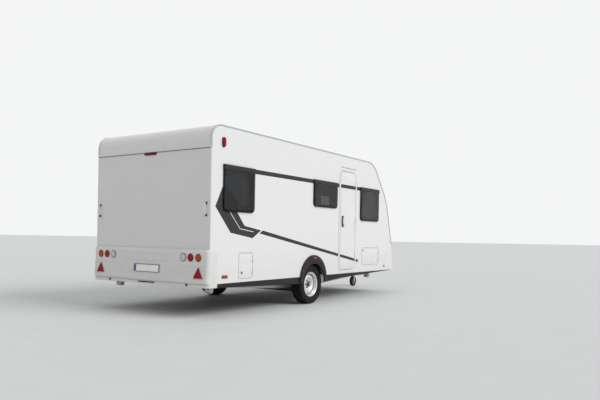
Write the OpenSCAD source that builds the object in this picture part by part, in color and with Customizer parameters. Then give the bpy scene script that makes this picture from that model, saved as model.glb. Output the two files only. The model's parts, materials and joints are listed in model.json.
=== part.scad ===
/* [Body] */
// Outer width over the two side walls
body_w = 2320; // [1930:10:2790]
// Length of the body along its lower edge
body_l = 5690; // [4740:10:6830]
// Height of the flat roof above the ground
roof_z = 2615; // [2180:5:3140]
// Height of the side walls' lower edge above the ground
wall_z = 470; // [440:5:560]
// Thickness of walls, roof and body flaps
wall_t = 34; // [28:1:41]
// Thickness of the floor panel
floor_t = 44; // [36:1:53]
// Radius of the roof's rear corner
rear_r = 200; // [160:5:240]
// Radius of the roof's front corner
front_r = 510; // [420:5:615]
// Height of the joint between rear wall and roof panel, below the roof
rear_seam_drop = 315; // [270:5:380]

/* [Door and windows] */
// Width of the entry door leaf
door_w = 550; // [460:5:660]
// Distance from the door's front edge to the body's front end
door_from_front = 1700; // [1600:10:1900]
// Drop from the roof to the door's top edge
door_drop = 290; // [250:5:350]
// Corner radius of the door
door_r = 95; // [80:5:115]
// Height of the tall windows
window_h = 640; // [535:5:765]
// Height of the kitchen window
kitchen_window_h = 455; // [380:5:545]
// Drop from the roof to the windows' top edge
window_drop = 525; // [440:5:600]
// Gap all round a door leaf or flap
leaf_gap = 8; // [7:0.5:10]

/* [Running gear] */
// Radius of the road tyre
tyre_r = 327; // [273:1:345]
// Width of the road tyre
tyre_w = 195; // [165:1:230]
// Distance from the axle to the door's rear edge
axle_from_door = 880; // [800:10:1050]
// Distance from the side wall's face in to the tyre's outer face
tyre_inset = 26; // [15:1:40]
// Radius of the jockey wheel
jockey_r = 115; // [100:1:130]

/* [Drawbar] */
// Length from the body's front end to the coupling's nose
drawbar_l = 1250; // [1100:10:1500]
// Height of the coupling ball's centre above the ground
ball_z = 430; // [400:5:465]
// Radius of the coupling socket for the 50 mm ball
socket_r = 25.2; // [25.1:0.05:25.5]

/* [Hidden] */
$fn = 64;
arc_step = 5;

// ---- Frame: x runs forward from the rear wall's face, y to the left, z up from the ground ----
bumper_d = 60;
x_shift = -(body_l + drawbar_l - bumper_d) / 2;
half_w = body_w / 2;
wall_y = half_w - wall_t;
floor_z = wall_z + floor_t;
seam_z = roof_z - rear_seam_drop;

// ---- Body outline: arcs named by the outward normal's angle at their ends ----
nose_a = 40;
brow_a = 17;
foot_a = 2;
brow_r = 1100;
foot_r = 1500;
nose_run = 480;
foot_rise = 144;

function normal(a) = [cos(a), sin(a)];
function onward(a) = [sin(a), -cos(a)];
// The front's bends, with the front corner's centre at x = 0
nose_end = [0, roof_z - front_r] + front_r * normal(nose_a);
brow_c0 = nose_end + nose_run * onward(nose_a) - brow_r * normal(nose_a);
brow_end = brow_c0 + brow_r * normal(brow_a);
foot_top_z = wall_z + foot_rise + foot_r * (sin(brow_a) - sin(foot_a));
chin_run = (brow_end[1] - foot_top_z) / cos(brow_a);
foot_c0 = brow_end + chin_run * onward(brow_a) - foot_r * normal(brow_a);
nose_l = foot_c0[0] + foot_r * cos(foot_a) + foot_rise * tan(foot_a);
nose_x = body_l - nose_l;
// Arc rows: centre x, centre z, radius, start angle, end angle
REAR_ARC = [rear_r, roof_z - rear_r, rear_r, 180, 90];
FRONT_ARCS = [
    [nose_x, roof_z - front_r, front_r, 90, nose_a],
    [nose_x + brow_c0[0], brow_c0[1], brow_r, nose_a, brow_a],
    [nose_x + foot_c0[0], foot_c0[1], foot_r, brow_a, foot_a],
];
function arc_points(row, inset) =
    let (steps = ceil(abs(row[4] - row[3]) / arc_step))
    [for (i = [0:steps]) let (a = row[3] + (row[4] - row[3]) * i / steps)
        [row[0], row[1]] + (row[2] - inset) * normal(a)];
function backwards(list) = [for (i = [len(list) - 1:-1:0]) list[i]];
function front_edge(inset) = concat(
    [for (row = FRONT_ARCS) each arc_points(row, inset)],
    [[body_l - inset / cos(foot_a), wall_z]]);
function roof_edge(inset) = concat(
    [[inset, seam_z]], arc_points(REAR_ARC, inset), [[nose_x, roof_z - inset]]);
function outline(inset) = concat([[inset, wall_z]], roof_edge(inset), front_edge(inset));
// The front skin's point on its straight chin, at height z
chin_top = [nose_x + brow_end[0], brow_end[1]];
function chin_point(z) = chin_top + (chin_top[1] - z) / cos(brow_a) * onward(brow_a);

// ---- Openings ----
door_x1 = body_l - door_from_front;
door_x0 = door_x1 - door_w;
door_z0 = wall_z + 72;
door_z1 = roof_z - door_drop;
axle_x = door_x0 - axle_from_door;
window_z1 = roof_z - window_drop;
window_r = 70;
// Window rows: x0, x1, height
WINDOWS = [
    [236, 916, window_h],
    [door_x0 - 921, door_x0 - 136, kitchen_window_h],
    [body_l - 1502, body_l - 724, window_h],
];
SIDES = [1, -1];
// Flap rows: x0, x1, z0, z1
SERVICE = [605, 908, floor_z + 10, floor_z + 362];
STORAGE = [body_l - 1390, body_l - 690, floor_z + 92, floor_z + 412];
FLAPS = [SERVICE, STORAGE];
flap_r = 25;
arch_z = tyre_r + 14;
arch_r = tyre_r + 46;
front_window_w = 1400;
front_window_l = chin_run - 150;
front_window_r = min(window_r, front_window_l / 2 - 1);
front_window_z = foot_top_z + chin_run * cos(brow_a) / 2;
lid_w = 1500;
lid_z0 = wall_z + 90;
lid_z1 = foot_top_z + 30;

// ---- Shared shapes ----
module at_centre() {
    translate([x_shift, 0, 0]) children();
}
// A plate with its outline in x and z, from y0 to y0 + t
module upright(y0, t) {
    translate([0, y0 + t, 0]) rotate([90, 0, 0]) linear_extrude(height = t) children();
}
// A plate outside the wall of one side, from depth d0 to depth d1 measured outwards from the wall's face
module on_side(side, d0, d1) {
    upright(side > 0 ? half_w + d0 : -half_w - d1, d1 - d0) children();
}
// A plate across the body, with its outline in y and z, from x0 to x0 + t
module across(x0, t) {
    translate([x0, 0, 0]) rotate([90, 0, 90]) linear_extrude(height = t) children();
}
module round_box(x0, z0, x1, z1, r) {
    translate([x0 + r, z0]) square([x1 - x0 - 2 * r, z1 - z0]);
    translate([x0, z0 + r]) square([x1 - x0, z1 - z0 - 2 * r]);
    for (x = [x0 + r, x1 - r], z = [z0 + r, z1 - r]) translate([x, z]) circle(r);
}
module window_shape(row, grow) {
    round_box(row[0] - grow, window_z1 - row[2] - grow, row[1] + grow, window_z1 + grow, window_r + grow);
}
module flap_shape(row, grow) {
    round_box(row[0] - grow, row[2] - grow, row[1] + grow, row[3] + grow, flap_r + grow);
}
module door_shape(grow) {
    round_box(door_x0 - grow, door_z0 - grow, door_x1 + grow, door_z1 + grow, door_r + grow);
}
module y_cylinder(x, y0, y1, z, r) {
    translate([x, y0, z]) rotate([-90, 0, 0]) cylinder(r = r, h = y1 - y0);
}
module x_cylinder(x0, x1, y, z, r) {
    translate([x0, y, z]) rotate([0, 90, 0]) cylinder(r = r, h = x1 - x0);
}

// ---- Chassis: two channels that run straight past the axle and then close in on the hitch ----
rail_x0 = 260;
rail_x1 = body_l - 260;
rail_y = 850;
rail_h = 190;
rail_flange = 50;
rail_t = 5;
member_h = 70;
rail_bend_x = axle_x + 680;
rail_z = wall_z - rail_h;
// Behind the axle the rails taper to this height at their rear end
rail_tail_h = 74;
taper_x = axle_x - 560;
seat = 0.3;
hitch_y = 55;
housing_x0 = body_l + 430;
housing_x1 = housing_x0 + 430;
bar_w = 45;
bar_h = 90;
bar_x0 = rail_x1 - 700;
bar_z = ball_z - 70;
bar_out = rail_t + seat;
slope = (rail_y - hitch_y - seat - bar_w - bar_out) / (housing_x0 - rail_bend_x);
function rail_face(x) = rail_y - max(0, x - rail_bend_x) * slope;
RAIL_PATH = [for (x = [rail_x0, rail_bend_x, rail_x1]) [x, rail_face(x)]];
BAR_PATH = [
    [bar_x0, rail_face(bar_x0) - bar_out],
    [housing_x0, rail_face(housing_x0) - bar_out],
    [housing_x1 - 60, rail_face(housing_x0) - bar_out],
];
// A strip of width w inside the path, on one side of the vehicle
module strip(path, side, w, z, h) {
    translate([0, 0, z]) linear_extrude(height = h)
        polygon(concat([for (p = path) [p[0], side * p[1]]],
            [for (p = backwards(path)) [p[0], side * (p[1] - w)]]));
}
steady_y = 920;
steady_l = 540;
steady_pin_r = 8;
steady_z = wall_z - 66;
lug_y = 30;
lug_t = 6;
lug_w = 70;
lug_drop = 18;
// Where the rear and the front pair of steadies turn
rear_pivot_x = 800;
front_pivot_x = body_l - 1250;
module outrigger(side, x) {
    for (s = [-1, 1])
        translate([x - lug_w / 2, side * steady_y + (s > 0 ? lug_y : -lug_y - lug_t), steady_z - lug_drop])
            cube([lug_w, lug_t, wall_z - steady_z + lug_drop]);
    y1 = side * steady_y - lug_y - lug_t;
    y2 = side * steady_y + lug_y + lug_t;
    low = min(y1, side * rail_face(x));
    high = max(y2, side * rail_face(x));
    translate([x - lug_w / 2, low, wall_z - rail_t]) cube([lug_w, high - low, rail_t]);
    y_cylinder(x, y1, y2, steady_z, steady_pin_r);
}
// What the taper takes off below each rail's tail, in the side view
TAPER_CUT = [
    [rail_x0 - 1, wall_z - rail_tail_h], [taper_x, rail_z],
    [taper_x, rail_z - 1], [rail_x0 - 1, rail_z - 1]];
module chassis_frame() color("silver") {
    for (side = SIDES) {
        difference() {
            union() {
                strip(RAIL_PATH, side, rail_t, rail_z, rail_h);
                for (z = [rail_z, wall_z - rail_t]) strip(RAIL_PATH, side, rail_flange, z, rail_t);
            }
            upright(-rail_y - 1, 2 * (rail_y + 1)) polygon(TAPER_CUT);
        }
        upright(side > 0 ? rail_y - rail_flange : -rail_y, rail_flange) polygon([
            [rail_x0, wall_z - rail_tail_h], [rail_x0, wall_z - rail_tail_h + rail_t],
            [taper_x, rail_z + rail_t], [taper_x, rail_z]]);
        for (x = [rear_pivot_x, front_pivot_x]) outrigger(side, x);
    }
    for (x = [rail_x0, axle_x - 700, rail_bend_x])
        translate([x, -rail_y + rail_t, wall_z - member_h]) cube([50, 2 * (rail_y - rail_t), member_h]);
}
module drawbar() color("silver")
    for (side = SIDES) strip(BAR_PATH, side, bar_w, bar_z, bar_h);

// ---- Axle: a tube under the rails, with a trailing arm and a stub axle at each end ----
hub_r = 16;
hub_fit = 0.05;
tyre_y1 = half_w - tyre_inset;
tyre_y0 = tyre_y1 - tyre_w;
wheel_y = (tyre_y0 + tyre_y1) / 2;
drum_r = 112;
drum_back = 62;
drum_gap = 5;
stub_l = 20;
plate_t = 6;
arm_run = 160;
arm_w = 42;
arm_y0 = rail_y + 12;
arm_y1 = arm_y0 + arm_w;
tube_r = 52;
tube_z = rail_z - tube_r - 8;
tube_x = axle_x + arm_run;
plate_y = wheel_y - drum_back - drum_gap;
module axle_end() {
    hull() {
        y_cylinder(tube_x, arm_y0, arm_y1, tube_z, tube_r + 8);
        y_cylinder(axle_x, arm_y0, arm_y1, tyre_r, 46);
    }
    y_cylinder(axle_x, arm_y1, plate_y, tyre_r, 40);
    y_cylinder(axle_x, plate_y - plate_t, plate_y, tyre_r, drum_r + 6);
    y_cylinder(axle_x, plate_y - plate_t, wheel_y + stub_l, tyre_r, hub_r);
    translate([tube_x - 60, rail_y - rail_flange, tube_z]) cube([120, rail_flange, rail_z - tube_z - seat]);
}
module axle() color("gray") {
    y_cylinder(tube_x, -arm_y0 - 1, arm_y0 + 1, tube_z, tube_r);
    for (side = SIDES) mirror([0, side > 0 ? 0 : 1, 0]) axle_end();
}

// ---- Wheels: drawn round the y axis at their centre, outer side towards +y ----
rim_r = 190;
flange_r = 206;
rim_w = 152;
rim_t = 12;
disc_z = 4;
bolt_circle_r = 56;
module about_wheel(side) {
    translate([axle_x, side * wheel_y, tyre_r])
        rotate([0, 0, side > 0 ? 0 : 180]) rotate([-90, 0, 0]) children();
}
module tyre() color("#202022")
    rotate_extrude() difference() {
        union() {
            translate([rim_r + 0.3, -rim_w / 2 + 9]) square([40, rim_w - 18]);
            translate([tyre_r - 40, -tyre_w / 2 + 25]) square([40, tyre_w - 50]);
            for (z = [-1, 1]) translate([tyre_r - 30, z * (tyre_w / 2 - 30)]) circle(30);
            translate([rim_r + 30, -tyre_w / 2]) square([tyre_r - rim_r - 60, tyre_w]);
            for (z = [-1, 1]) translate([rim_r + 30, z * (tyre_w / 2 - 12)]) circle(12);
        }
        translate([0, -tyre_w]) square([rim_r + 0.3, 2 * tyre_w]);
    }
module rim() color("silver") difference() {
    rotate_extrude() {
        translate([rim_r - rim_t, -rim_w / 2]) square([rim_t, rim_w]);
        for (z = [-rim_w / 2 - 4, rim_w / 2 - 4])
            translate([rim_r - rim_t, z]) square([flange_r - rim_r + rim_t, 8]);
        translate([84, 20]) square([rim_r - 90, 8]);
        translate([36, disc_z]) square([46, 8]);
        polygon([[72, disc_z], [88, disc_z], [104, 20], [104, 28], [84, 28], [72, 12]]);
    }
    for (i = [0:4]) rotate(72 * i) translate([bolt_circle_r, 0, -30]) cylinder(r = 7, h = 80);
    for (i = [0:11]) rotate(30 * i) translate([145, 0, 0]) cylinder(r = 13, h = 60);
}
module drum() color("dimgray") difference() {
    union() {
        translate([0, 0, -drum_back]) cylinder(r = drum_r, h = drum_back + disc_z);
        cylinder(r = 35.5, h = 38);
    }
    translate([0, 0, -drum_back - 1]) cylinder(r = hub_r + hub_fit, h = drum_back + stub_l + 2);
    translate([0, 0, -drum_back - 1]) cylinder(r = drum_r - 10, h = drum_back - 12);
}

// ---- Cabin panels ----
floor_x1 = body_l - wall_t / cos(foot_a) - floor_t * tan(foot_a) - seat;
module floor_panel() color("saddlebrown") difference() {
    translate([wall_t, -wall_y, wall_z]) cube([floor_x1 - wall_t, 2 * wall_y, floor_t]);
    for (side = SIDES)
        translate([axle_x - arch_r - 20, side > 0 ? tyre_y0 - 40 : -wall_y - 1, wall_z - 1])
            cube([2 * arch_r + 40, wall_y + 1 - tyre_y0 + 40, floor_t + 2]);
}
module side_wall(side) color("white") {
    on_side(side, -wall_t, 0) difference() {
        polygon(outline(0));
        translate([axle_x, arch_z]) circle(arch_r);
        for (row = WINDOWS) window_shape(row, -30);
        if (side < 0) {
            door_shape(leaf_gap + frame_lap);
            for (row = FLAPS) flap_shape(row, leaf_gap);
        }
    }
    if (side < 0) for (row = FLAPS, z = flap_hinges(row)) wall_hinge(row[1], z, 0);
}
module roof_panel() color("white")
    upright(-wall_y, 2 * wall_y) polygon(concat(roof_edge(0), backwards(roof_edge(wall_t))));
module rear_wall() color("gainsboro")
    translate([0, -wall_y, wall_z]) cube([wall_t, 2 * wall_y, seam_z - wall_z]);
module front_skin(y0, w) {
    upright(y0, w) polygon(concat(front_edge(0), backwards(front_edge(wall_t))));
}
module lid_zone(grow) {
    translate([body_l - 400, -lid_w / 2 - grow, lid_z0 - grow])
        cube([600, lid_w + 2 * grow, lid_z1 - lid_z0 + 2 * grow]);
}
module about_front_window() {
    p = chin_point(front_window_z);
    translate([p[0], 0, p[1]]) rotate([0, 90 - brow_a, 0]) children();
}
module front_window_plate(z0, t, grow) {
    about_front_window() translate([0, 0, z0]) linear_extrude(height = t)
        round_box(-front_window_l / 2 - grow, -front_window_w / 2 - grow,
            front_window_l / 2 + grow, front_window_w / 2 + grow, front_window_r + grow);
}
LID_HINGES = [-500, 0, 500];
module about_lid_hinge() {
    p = chin_point(lid_z1 + leaf_gap / 2);
    translate([p[0], 0, p[1]]) rotate([0, -brow_a, 0]) children();
}
module lid_knuckle(y, w) {
    y_cylinder(knuckle_d, y, y + w, 0, knuckle_r);
}
module front_wall() color("white") {
    difference() {
        front_skin(-wall_y, 2 * wall_y);
        front_window_plate(-120, 240, -30);
        lid_zone(leaf_gap);
    }
    about_lid_hinge() for (y = LID_HINGES, s = [-1, 1]) {
        y0 = y + s * (knuckle_h / 2 + knuckle_gap + 10) - 10;
        lid_knuckle(y0, 20);
        translate([0, y0, 0]) cube([strap_t, 20, 40]);
    }
}
module gas_locker_lid() color("white") {
    intersection() {
        front_skin(-lid_w / 2, lid_w);
        lid_zone(0);
    }
    about_lid_hinge() for (y = LID_HINGES) {
        lid_knuckle(y - knuckle_h / 2, knuckle_h);
        translate([0, y - knuckle_h / 2, -40]) cube([strap_t, knuckle_h, 40]);
    }
}

// The locker behind the lid: a bulkhead that stands on the floor, and its lid-high top
locker_l = 420;
locker_t = 15;
locker_z1 = lid_z1 + 20;
module front_locker() color("gainsboro") difference() {
    union() {
        translate([body_l - locker_l, -wall_y, floor_z]) cube([locker_t, 2 * wall_y, locker_z1 - floor_z]);
        translate([body_l - locker_l, -wall_y, locker_z1]) cube([locker_l, 2 * wall_y, locker_t]);
    }
    upright(-wall_y - 1, 2 * (wall_y + 1)) polygon(concat(
        [[body_l + 100, wall_z], [body_l + 100, roof_z]], front_edge(wall_t)));
}

// ---- Rear moulding ----
moulding_z0 = wall_z - 52;
moulding_h = 512;
moulding_wrap = 144;
moulding_t = 12;
lamp_z = moulding_z0 + 402;
face_top = 44;
face_foot = 56;
face_z0 = 115;
face_h = 195;
face_a = atan((face_foot - face_top) / face_h);
// The lower lip is thinner, and has a hole for each rear steady's crank
lip_h = 50;
crank_y = 788;
crank_z = 27;
crank_r = 16;
// A flat piece on the moulding's sloping face, drawn in y and in height above the face's foot
module on_face(t) {
    translate([-face_foot - seat, 0, moulding_z0 + face_z0])
        rotate([0, face_a, 0]) across(-t, t) children();
}
module rear_bumper() color("gainsboro") difference() {
    union() {
        upright(-half_w - moulding_t, 2 * (half_w + moulding_t)) translate([0, moulding_z0]) polygon([
            [0, 0], [0, moulding_h], [-22, moulding_h], [-face_top, moulding_h - 40], [-face_top, 310],
            [-face_foot, face_z0], [-bumper_d, face_z0 - 20], [-bumper_d, lip_h + 10],
            [-face_top, lip_h], [-face_top, 0]]);
        for (side = SIDES) on_side(side, seat, moulding_t)
            translate([-1, moulding_z0]) square([moulding_wrap, moulding_h]);
    }
    for (side = SIDES) x_cylinder(-bumper_d - 20, 1, side * crank_y, moulding_z0 + crank_z, crank_r);
}
lamp_r = 58;
lamp_out = 10;
// The high brake lamp and the reflex strip in the lip: width, depth and height
BRAKE_LAMP = [240, 18, 38];
REFLEX = [330, 8, 16];
module lamp(from_edge) {
    for (side = SIDES)
        x_cylinder(-face_top - lamp_out, -face_top - seat, side * (half_w - from_edge), lamp_z, lamp_r);
}
module bar_lamp(size, d, z) {
    translate([-d - seat - size[1], -size[0] / 2, z]) cube([size[1], size[0], size[2]]);
}
module indicator_lamps() color("orange") lamp(160);
module tail_lamps() color("red") {
    lamp(301);
    bar_lamp(BRAKE_LAMP, 0, seam_z - 50);
    bar_lamp(REFLEX, face_top, moulding_z0 + 20);
}
module reversing_lamps() color("white") lamp(440);
module warning_triangles() color("red")
    for (side = SIDES) on_face(5) translate([side * (half_w - 160), 10])
        polygon([[-83, 0], [83, 0], [0, 150]]);
module number_plate() color("white")
    on_face(3) translate([-260, 55]) square([520, 110]);

// ---- Trims ----
skirt_t = 16;
trim_r = tyre_r + 83;
trim_top = tyre_r + 84;
trim_gap = 18;
trim_d = 30;
// Columns: how far behind the body's front end, and how deep the skirt hangs there
FRONT_SKIRT = [[70, 6], [1450, 54], [2200, 76], [body_l - axle_x - trim_r + 45, 116]];
module skirts() color("#3c3d41") for (side = SIDES) on_side(side, -skirt_t, 0) {
    polygon([[moulding_wrap, wall_z], [axle_x - trim_r + 45, wall_z],
        [axle_x - trim_r + 45, wall_z - 111], [moulding_wrap, wall_z - 56]]);
    polygon(concat([[axle_x + trim_r - 45, wall_z], [body_l - 60, wall_z]],
        [for (row = FRONT_SKIRT) [body_l - row[0], wall_z - row[1]]]));
}

module wheel_arches() color("#2e2f31") for (side = SIDES)
    on_side(side, seat, trim_d) difference() {
        union() {
            translate([axle_x, trim_top]) circle(trim_r);
            translate([axle_x - trim_r, tyre_r + 30]) square([2 * trim_r, trim_top - tyre_r - 30]);
        }
        translate([axle_x, tyre_r + 4]) circle(tyre_r + trim_gap);
        translate([axle_x - trim_r - 1, 0]) square([2 * trim_r + 2, tyre_r + 50]);
    }
// The boxes over the wheels inside the cabin
box_t = 12;
box_half_l = arch_r + 20;
box_y0 = tyre_y0 - 40;
box_w = wall_y - box_y0;
box_h = arch_z + box_half_l - wall_z;
module wheel_boxes() color("gainsboro") for (side = SIDES) {
    y0 = side > 0 ? box_y0 : -wall_y;
    difference() {
        translate([axle_x - box_half_l, y0, wall_z]) cube([2 * box_half_l, box_w, box_h]);
        translate([axle_x - box_half_l + box_t, side > 0 ? y0 + box_t : y0 - 1, wall_z - 1])
            cube([2 * (box_half_l - box_t), box_w - box_t + 1, box_h - box_t + 1]);
    }
}
rail_trim = 6;
module awning_rails() color("silver") for (side = SIDES)
    on_side(side, -rail_trim, rail_trim) difference() {
        polygon(outline(-rail_trim));
        polygon(outline(0));
        translate([-50, 0]) square([nose_x, seam_z]);
        translate([0, 0]) square([body_l + 100, foot_top_z]);
    }
// A bail on two feet, seen from the side: feet at both ends of h, bar out at depth d
module grab_handle(h, d) {
    translate([0, -9, -h / 2]) {
        for (z = [0, h - 20]) translate([0, 0, z]) cube([d - 12, 18, 20]);
        translate([d - 12, 0, 0]) cube([12, 18, h]);
    }
}
module grab_handles() color("whitesmoke") for (side = SIDES) {
    translate([-seat, side * (half_w - 72), wall_z + 1000]) mirror([1, 0, 0]) grab_handle(196, 46);
    p = chin_point(foot_top_z + 150);
    translate([p[0] + seat, side * (half_w - 72), p[1]]) rotate([0, -brow_a, 0]) grab_handle(196, 46);
}
// Marker rows: x0, z0, x1, z1, corner radius, inner and outer depth
MARKERS = [
    [242, floor_z + 22, 366, floor_z + 66, 20, seat, 14],
    [204, roof_z - 297, 270, roof_z - 160, 30, seat, 30],
    [body_l - 430, floor_z + 14, body_l - 385, floor_z + 59, 20, seat, 14],
    [axle_x - 50, trim_top + 340, axle_x + 50, trim_top + 380, 18, trim_d, trim_d + 10],
];
module side_markers() color("orange")
    for (side = SIDES, row = MARKERS)
        on_side(side, row[5], row[6]) round_box(row[0], row[1], row[2], row[3], row[4]);

// ---- Door, windows and flaps ----
frame_lap = 22;
frame_out = 6;
// Hinges stand on the outer face: a knuckle on the flap between two on the wall, all round one line
knuckle_r = 7;
knuckle_h = 60;
knuckle_gap = 0.5;
knuckle_d = knuckle_r + 1;
strap_t = 3;
function hinge_x(x1) = x1 + leaf_gap / 2;
module knuckle(x, z, h, d) {
    translate([hinge_x(x), -half_w - d - knuckle_d, z]) cylinder(r = knuckle_r, h = h);
}
// The flap's half: a knuckle with a strap back on to the flap's face, which stands at depth d
module flap_hinge(x, z, d) {
    knuckle(x, z - knuckle_h / 2, knuckle_h, d);
    translate([x - 40, -half_w - d - strap_t, z - knuckle_h / 2]) cube([41, strap_t, knuckle_h]);
}
// The wall's half: knuckles above and below, with a strap forwards on the wall's face at depth d
module wall_hinge(x, z, d) {
    for (z0 = [z - knuckle_h / 2 - knuckle_gap - 20, z + knuckle_h / 2 + knuckle_gap]) {
        knuckle(x, z0, 20, d);
        translate([x + leaf_gap, -half_w - d - strap_t, z0]) cube([30, strap_t, 20]);
    }
}
DOOR_HINGES = [for (k = [0.12, 0.5, 0.88]) door_z0 + k * (door_z1 - door_z0)];
function flap_hinges(row) = [for (k = [0.25, 0.75]) row[2] + k * (row[3] - row[2])];
module door_frame() color("whitesmoke") {
    on_side(-1, seat, frame_out) difference() {
        door_shape(leaf_gap + 2 * frame_lap);
        door_shape(leaf_gap);
    }
    on_side(-1, -wall_t, seat) difference() {
        door_shape(leaf_gap + frame_lap - seat);
        door_shape(leaf_gap);
    }
    on_side(-1, seat, 16) translate([door_x0 + 20, door_z1 + 78]) square([door_w, 12]);
    for (z = DOOR_HINGES) wall_hinge(door_x1, z, frame_out);
}
module door_leaf() color("white") {
    on_side(-1, -wall_t, frame_out) door_shape(0);
    for (z = DOOR_HINGES) flap_hinge(door_x1, z, frame_out);
}
handle_x = door_x0 + 78;
handle_z = door_z0 + 875;
handle_half_w = 38;
handle_half_h = 102;
handle_d = 24;
module door_handle() color("#303236")
    on_side(-1, frame_out, frame_out + handle_d) round_box(handle_x - handle_half_w,
        handle_z - handle_half_h, handle_x + handle_half_w, handle_z + handle_half_h, 36);
module side_flap(row) color("white") {
    on_side(-1, -wall_t, 0) flap_shape(row, 0);
    for (z = flap_hinges(row)) flap_hinge(row[1], z, 0);
}
module service_flap() side_flap(SERVICE);
module storage_flap() side_flap(STORAGE);
pane_t = 22;
seal_t = 5;
module window_frames() color("#1d1e20") {
    for (side = SIDES, row = WINDOWS) difference() {
        union() {
            on_side(side, 0, seal_t) window_shape(row, -8);
            on_side(side, -wall_t, 0) window_shape(row, -30);
        }
        on_side(side, -wall_t - 1, seal_t + 1) window_shape(row, -44);
    }
    difference() {
        front_window_plate(-wall_t, wall_t + 12, -30);
        front_window_plate(-wall_t - 1, wall_t + 14, -44);
    }
}
module window_panes() color([0.12, 0.13, 0.14, 0.8]) {
    for (side = SIDES, row = WINDOWS) on_side(side, seal_t, seal_t + pane_t) window_shape(row, 0);
    front_window_plate(12, pane_t, 0);
}
// ---- Roof and side fittings ----
module roof_vents() color("whitesmoke") {
    translate([nose_x - 900, -260, roof_z]) cube([740, 520, 60]);
    translate([axle_x - 500, -220, roof_z]) cube([440, 440, 60]);
    translate([700, 600, roof_z]) {
        cylinder(r = 45, h = 71);
        translate([0, 0, 70]) cylinder(r = 70, h = 25);
    }
}
module side_vents() color("whitesmoke") {
    for (z = [floor_z + 180, floor_z + 560])
        on_side(1, 0.3, 14) round_box(door_x0 - 20, z, door_x0 + 420, z + 200, 15);
    on_side(1, 0.3, 20) round_box(1000, floor_z + 120, 1160, floor_z + 280, 20);
}
// ---- Hitch ----
nose_end_x = body_l + drawbar_l;
cup_r = 42;
cup_x = nose_end_x - cup_r;
shaft_r = 25;
shaft_z = ball_z - 5;
head_in = 100;
module hitch_housing() color("silver") {
    translate([housing_x0, -hitch_y, ball_z - 45]) cube([housing_x1 - housing_x0, 2 * hitch_y, 80]);
    x_cylinder(housing_x1 - 1, cup_x - head_in - 2, 0, shaft_z, shaft_r);
}
module hitch_gaiter() color("#1c1c1e") difference() {
    x_cylinder(housing_x1 + seat, cup_x - head_in - 75, 0, shaft_z, 36);
    x_cylinder(housing_x1, cup_x - head_in - 74, 0, shaft_z, shaft_r + seat);
}
module coupling_head() color("dimgray") difference() {
    union() {
        translate([cup_x, 0, ball_z - 30]) cylinder(r = cup_r, h = 72);
        translate([cup_x - head_in - 50, -32, ball_z - 37]) cube([head_in + 20, 64, 64]);
        translate([cup_x - 130, -18, ball_z + 41]) cube([130 + cup_r - 6, 36, 14]);
    }
    translate([cup_x, 0, ball_z - 31]) cylinder(r = socket_r, h = 32);
    translate([cup_x, 0, ball_z]) sphere(r = socket_r);
    x_cylinder(cup_x - head_in - 51, cup_x - head_in, 0, shaft_z, shaft_r + seat);
}
module handbrake_lever() color("#1c1c1e") hull() {
    y_cylinder(housing_x0 + 200, -8, 8, ball_z + 35 + seat + 18, 18);
    y_cylinder(housing_x0 + 60, -8, 8, ball_z + 350, 14);
}

// ---- Jockey wheel ----
jockey_x = housing_x1 - 145;
trail = 45;
fit = 0.05;
outer_r = 30;
inner_r = 24;
stem_r = 12;
pin_r = 8;
jockey_w = 62;
jockey_y = hitch_y + bar_w + outer_r + 12;
clamp_z = ball_z + 5;
crown_z = 2 * jockey_r + 12;
crown_h = 24;
fork_y = jockey_w / 2 + 6;
fork_t = 6;
fork_out = fork_y + fork_t;
module jockey_clamp() color("silver") {
    difference() {
        union() {
            translate([jockey_x, jockey_y, clamp_z]) cylinder(r = outer_r, h = 400);
            translate([jockey_x - 35, hitch_y + 5, bar_z + bar_h + seat])
                cube([70, jockey_y - hitch_y - 5, 60]);
        }
        translate([jockey_x, jockey_y, clamp_z - 1]) cylinder(r = inner_r + fit, h = 380);
    }
    translate([jockey_x, jockey_y, clamp_z + 399]) cylinder(r = 9, h = 36);
    translate([jockey_x - 120, jockey_y - 8, clamp_z + 425]) cube([128, 16, 10]);
    translate([jockey_x - 120, jockey_y, clamp_z + 425]) cylinder(r = 12, h = 90);
}
module jockey_tube() color("silver") difference() {
    translate([jockey_x, jockey_y, crown_z + crown_h]) cylinder(r = inner_r, h = 330);
    translate([jockey_x, jockey_y, crown_z + crown_h - 1]) cylinder(r = stem_r + fit, h = 90);
}
module jockey_fork() color("silver") {
    translate([jockey_x, jockey_y, crown_z]) cylinder(r = 26, h = crown_h - seat);
    translate([jockey_x, jockey_y, crown_z]) cylinder(r = stem_r, h = crown_h + 80);
    translate([jockey_x - trail - 26, jockey_y - fork_out, crown_z]) cube([trail + 46, 2 * fork_out, 8]);
    for (y = [-fork_out, fork_y]) hull() {
        translate([jockey_x - trail - 26, jockey_y + y, crown_z]) cube([60, fork_t, 8]);
        y_cylinder(jockey_x - trail, jockey_y + y, jockey_y + y + fork_t, jockey_r, 18);
    }
    y_cylinder(jockey_x - trail, jockey_y - fork_out - 4, jockey_y + fork_out + 4, jockey_r, pin_r);
}
module jockey_wheel() color("#1c1c1e")
    translate([jockey_x - trail, jockey_y, jockey_r]) rotate([90, 0, 0]) rotate_extrude() {
        translate([pin_r + fit, -jockey_w / 2]) square([22, jockey_w]);
        translate([20, -6]) square([60, 12]);
        translate([70, -jockey_w / 2 + 8]) square([jockey_r - 70, jockey_w - 16]);
        translate([70, -jockey_w / 2]) square([jockey_r - 78, jockey_w]);
        for (z = [-1, 1]) translate([jockey_r - 8, z * (jockey_w / 2 - 8)]) circle(8);
    }

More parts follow.
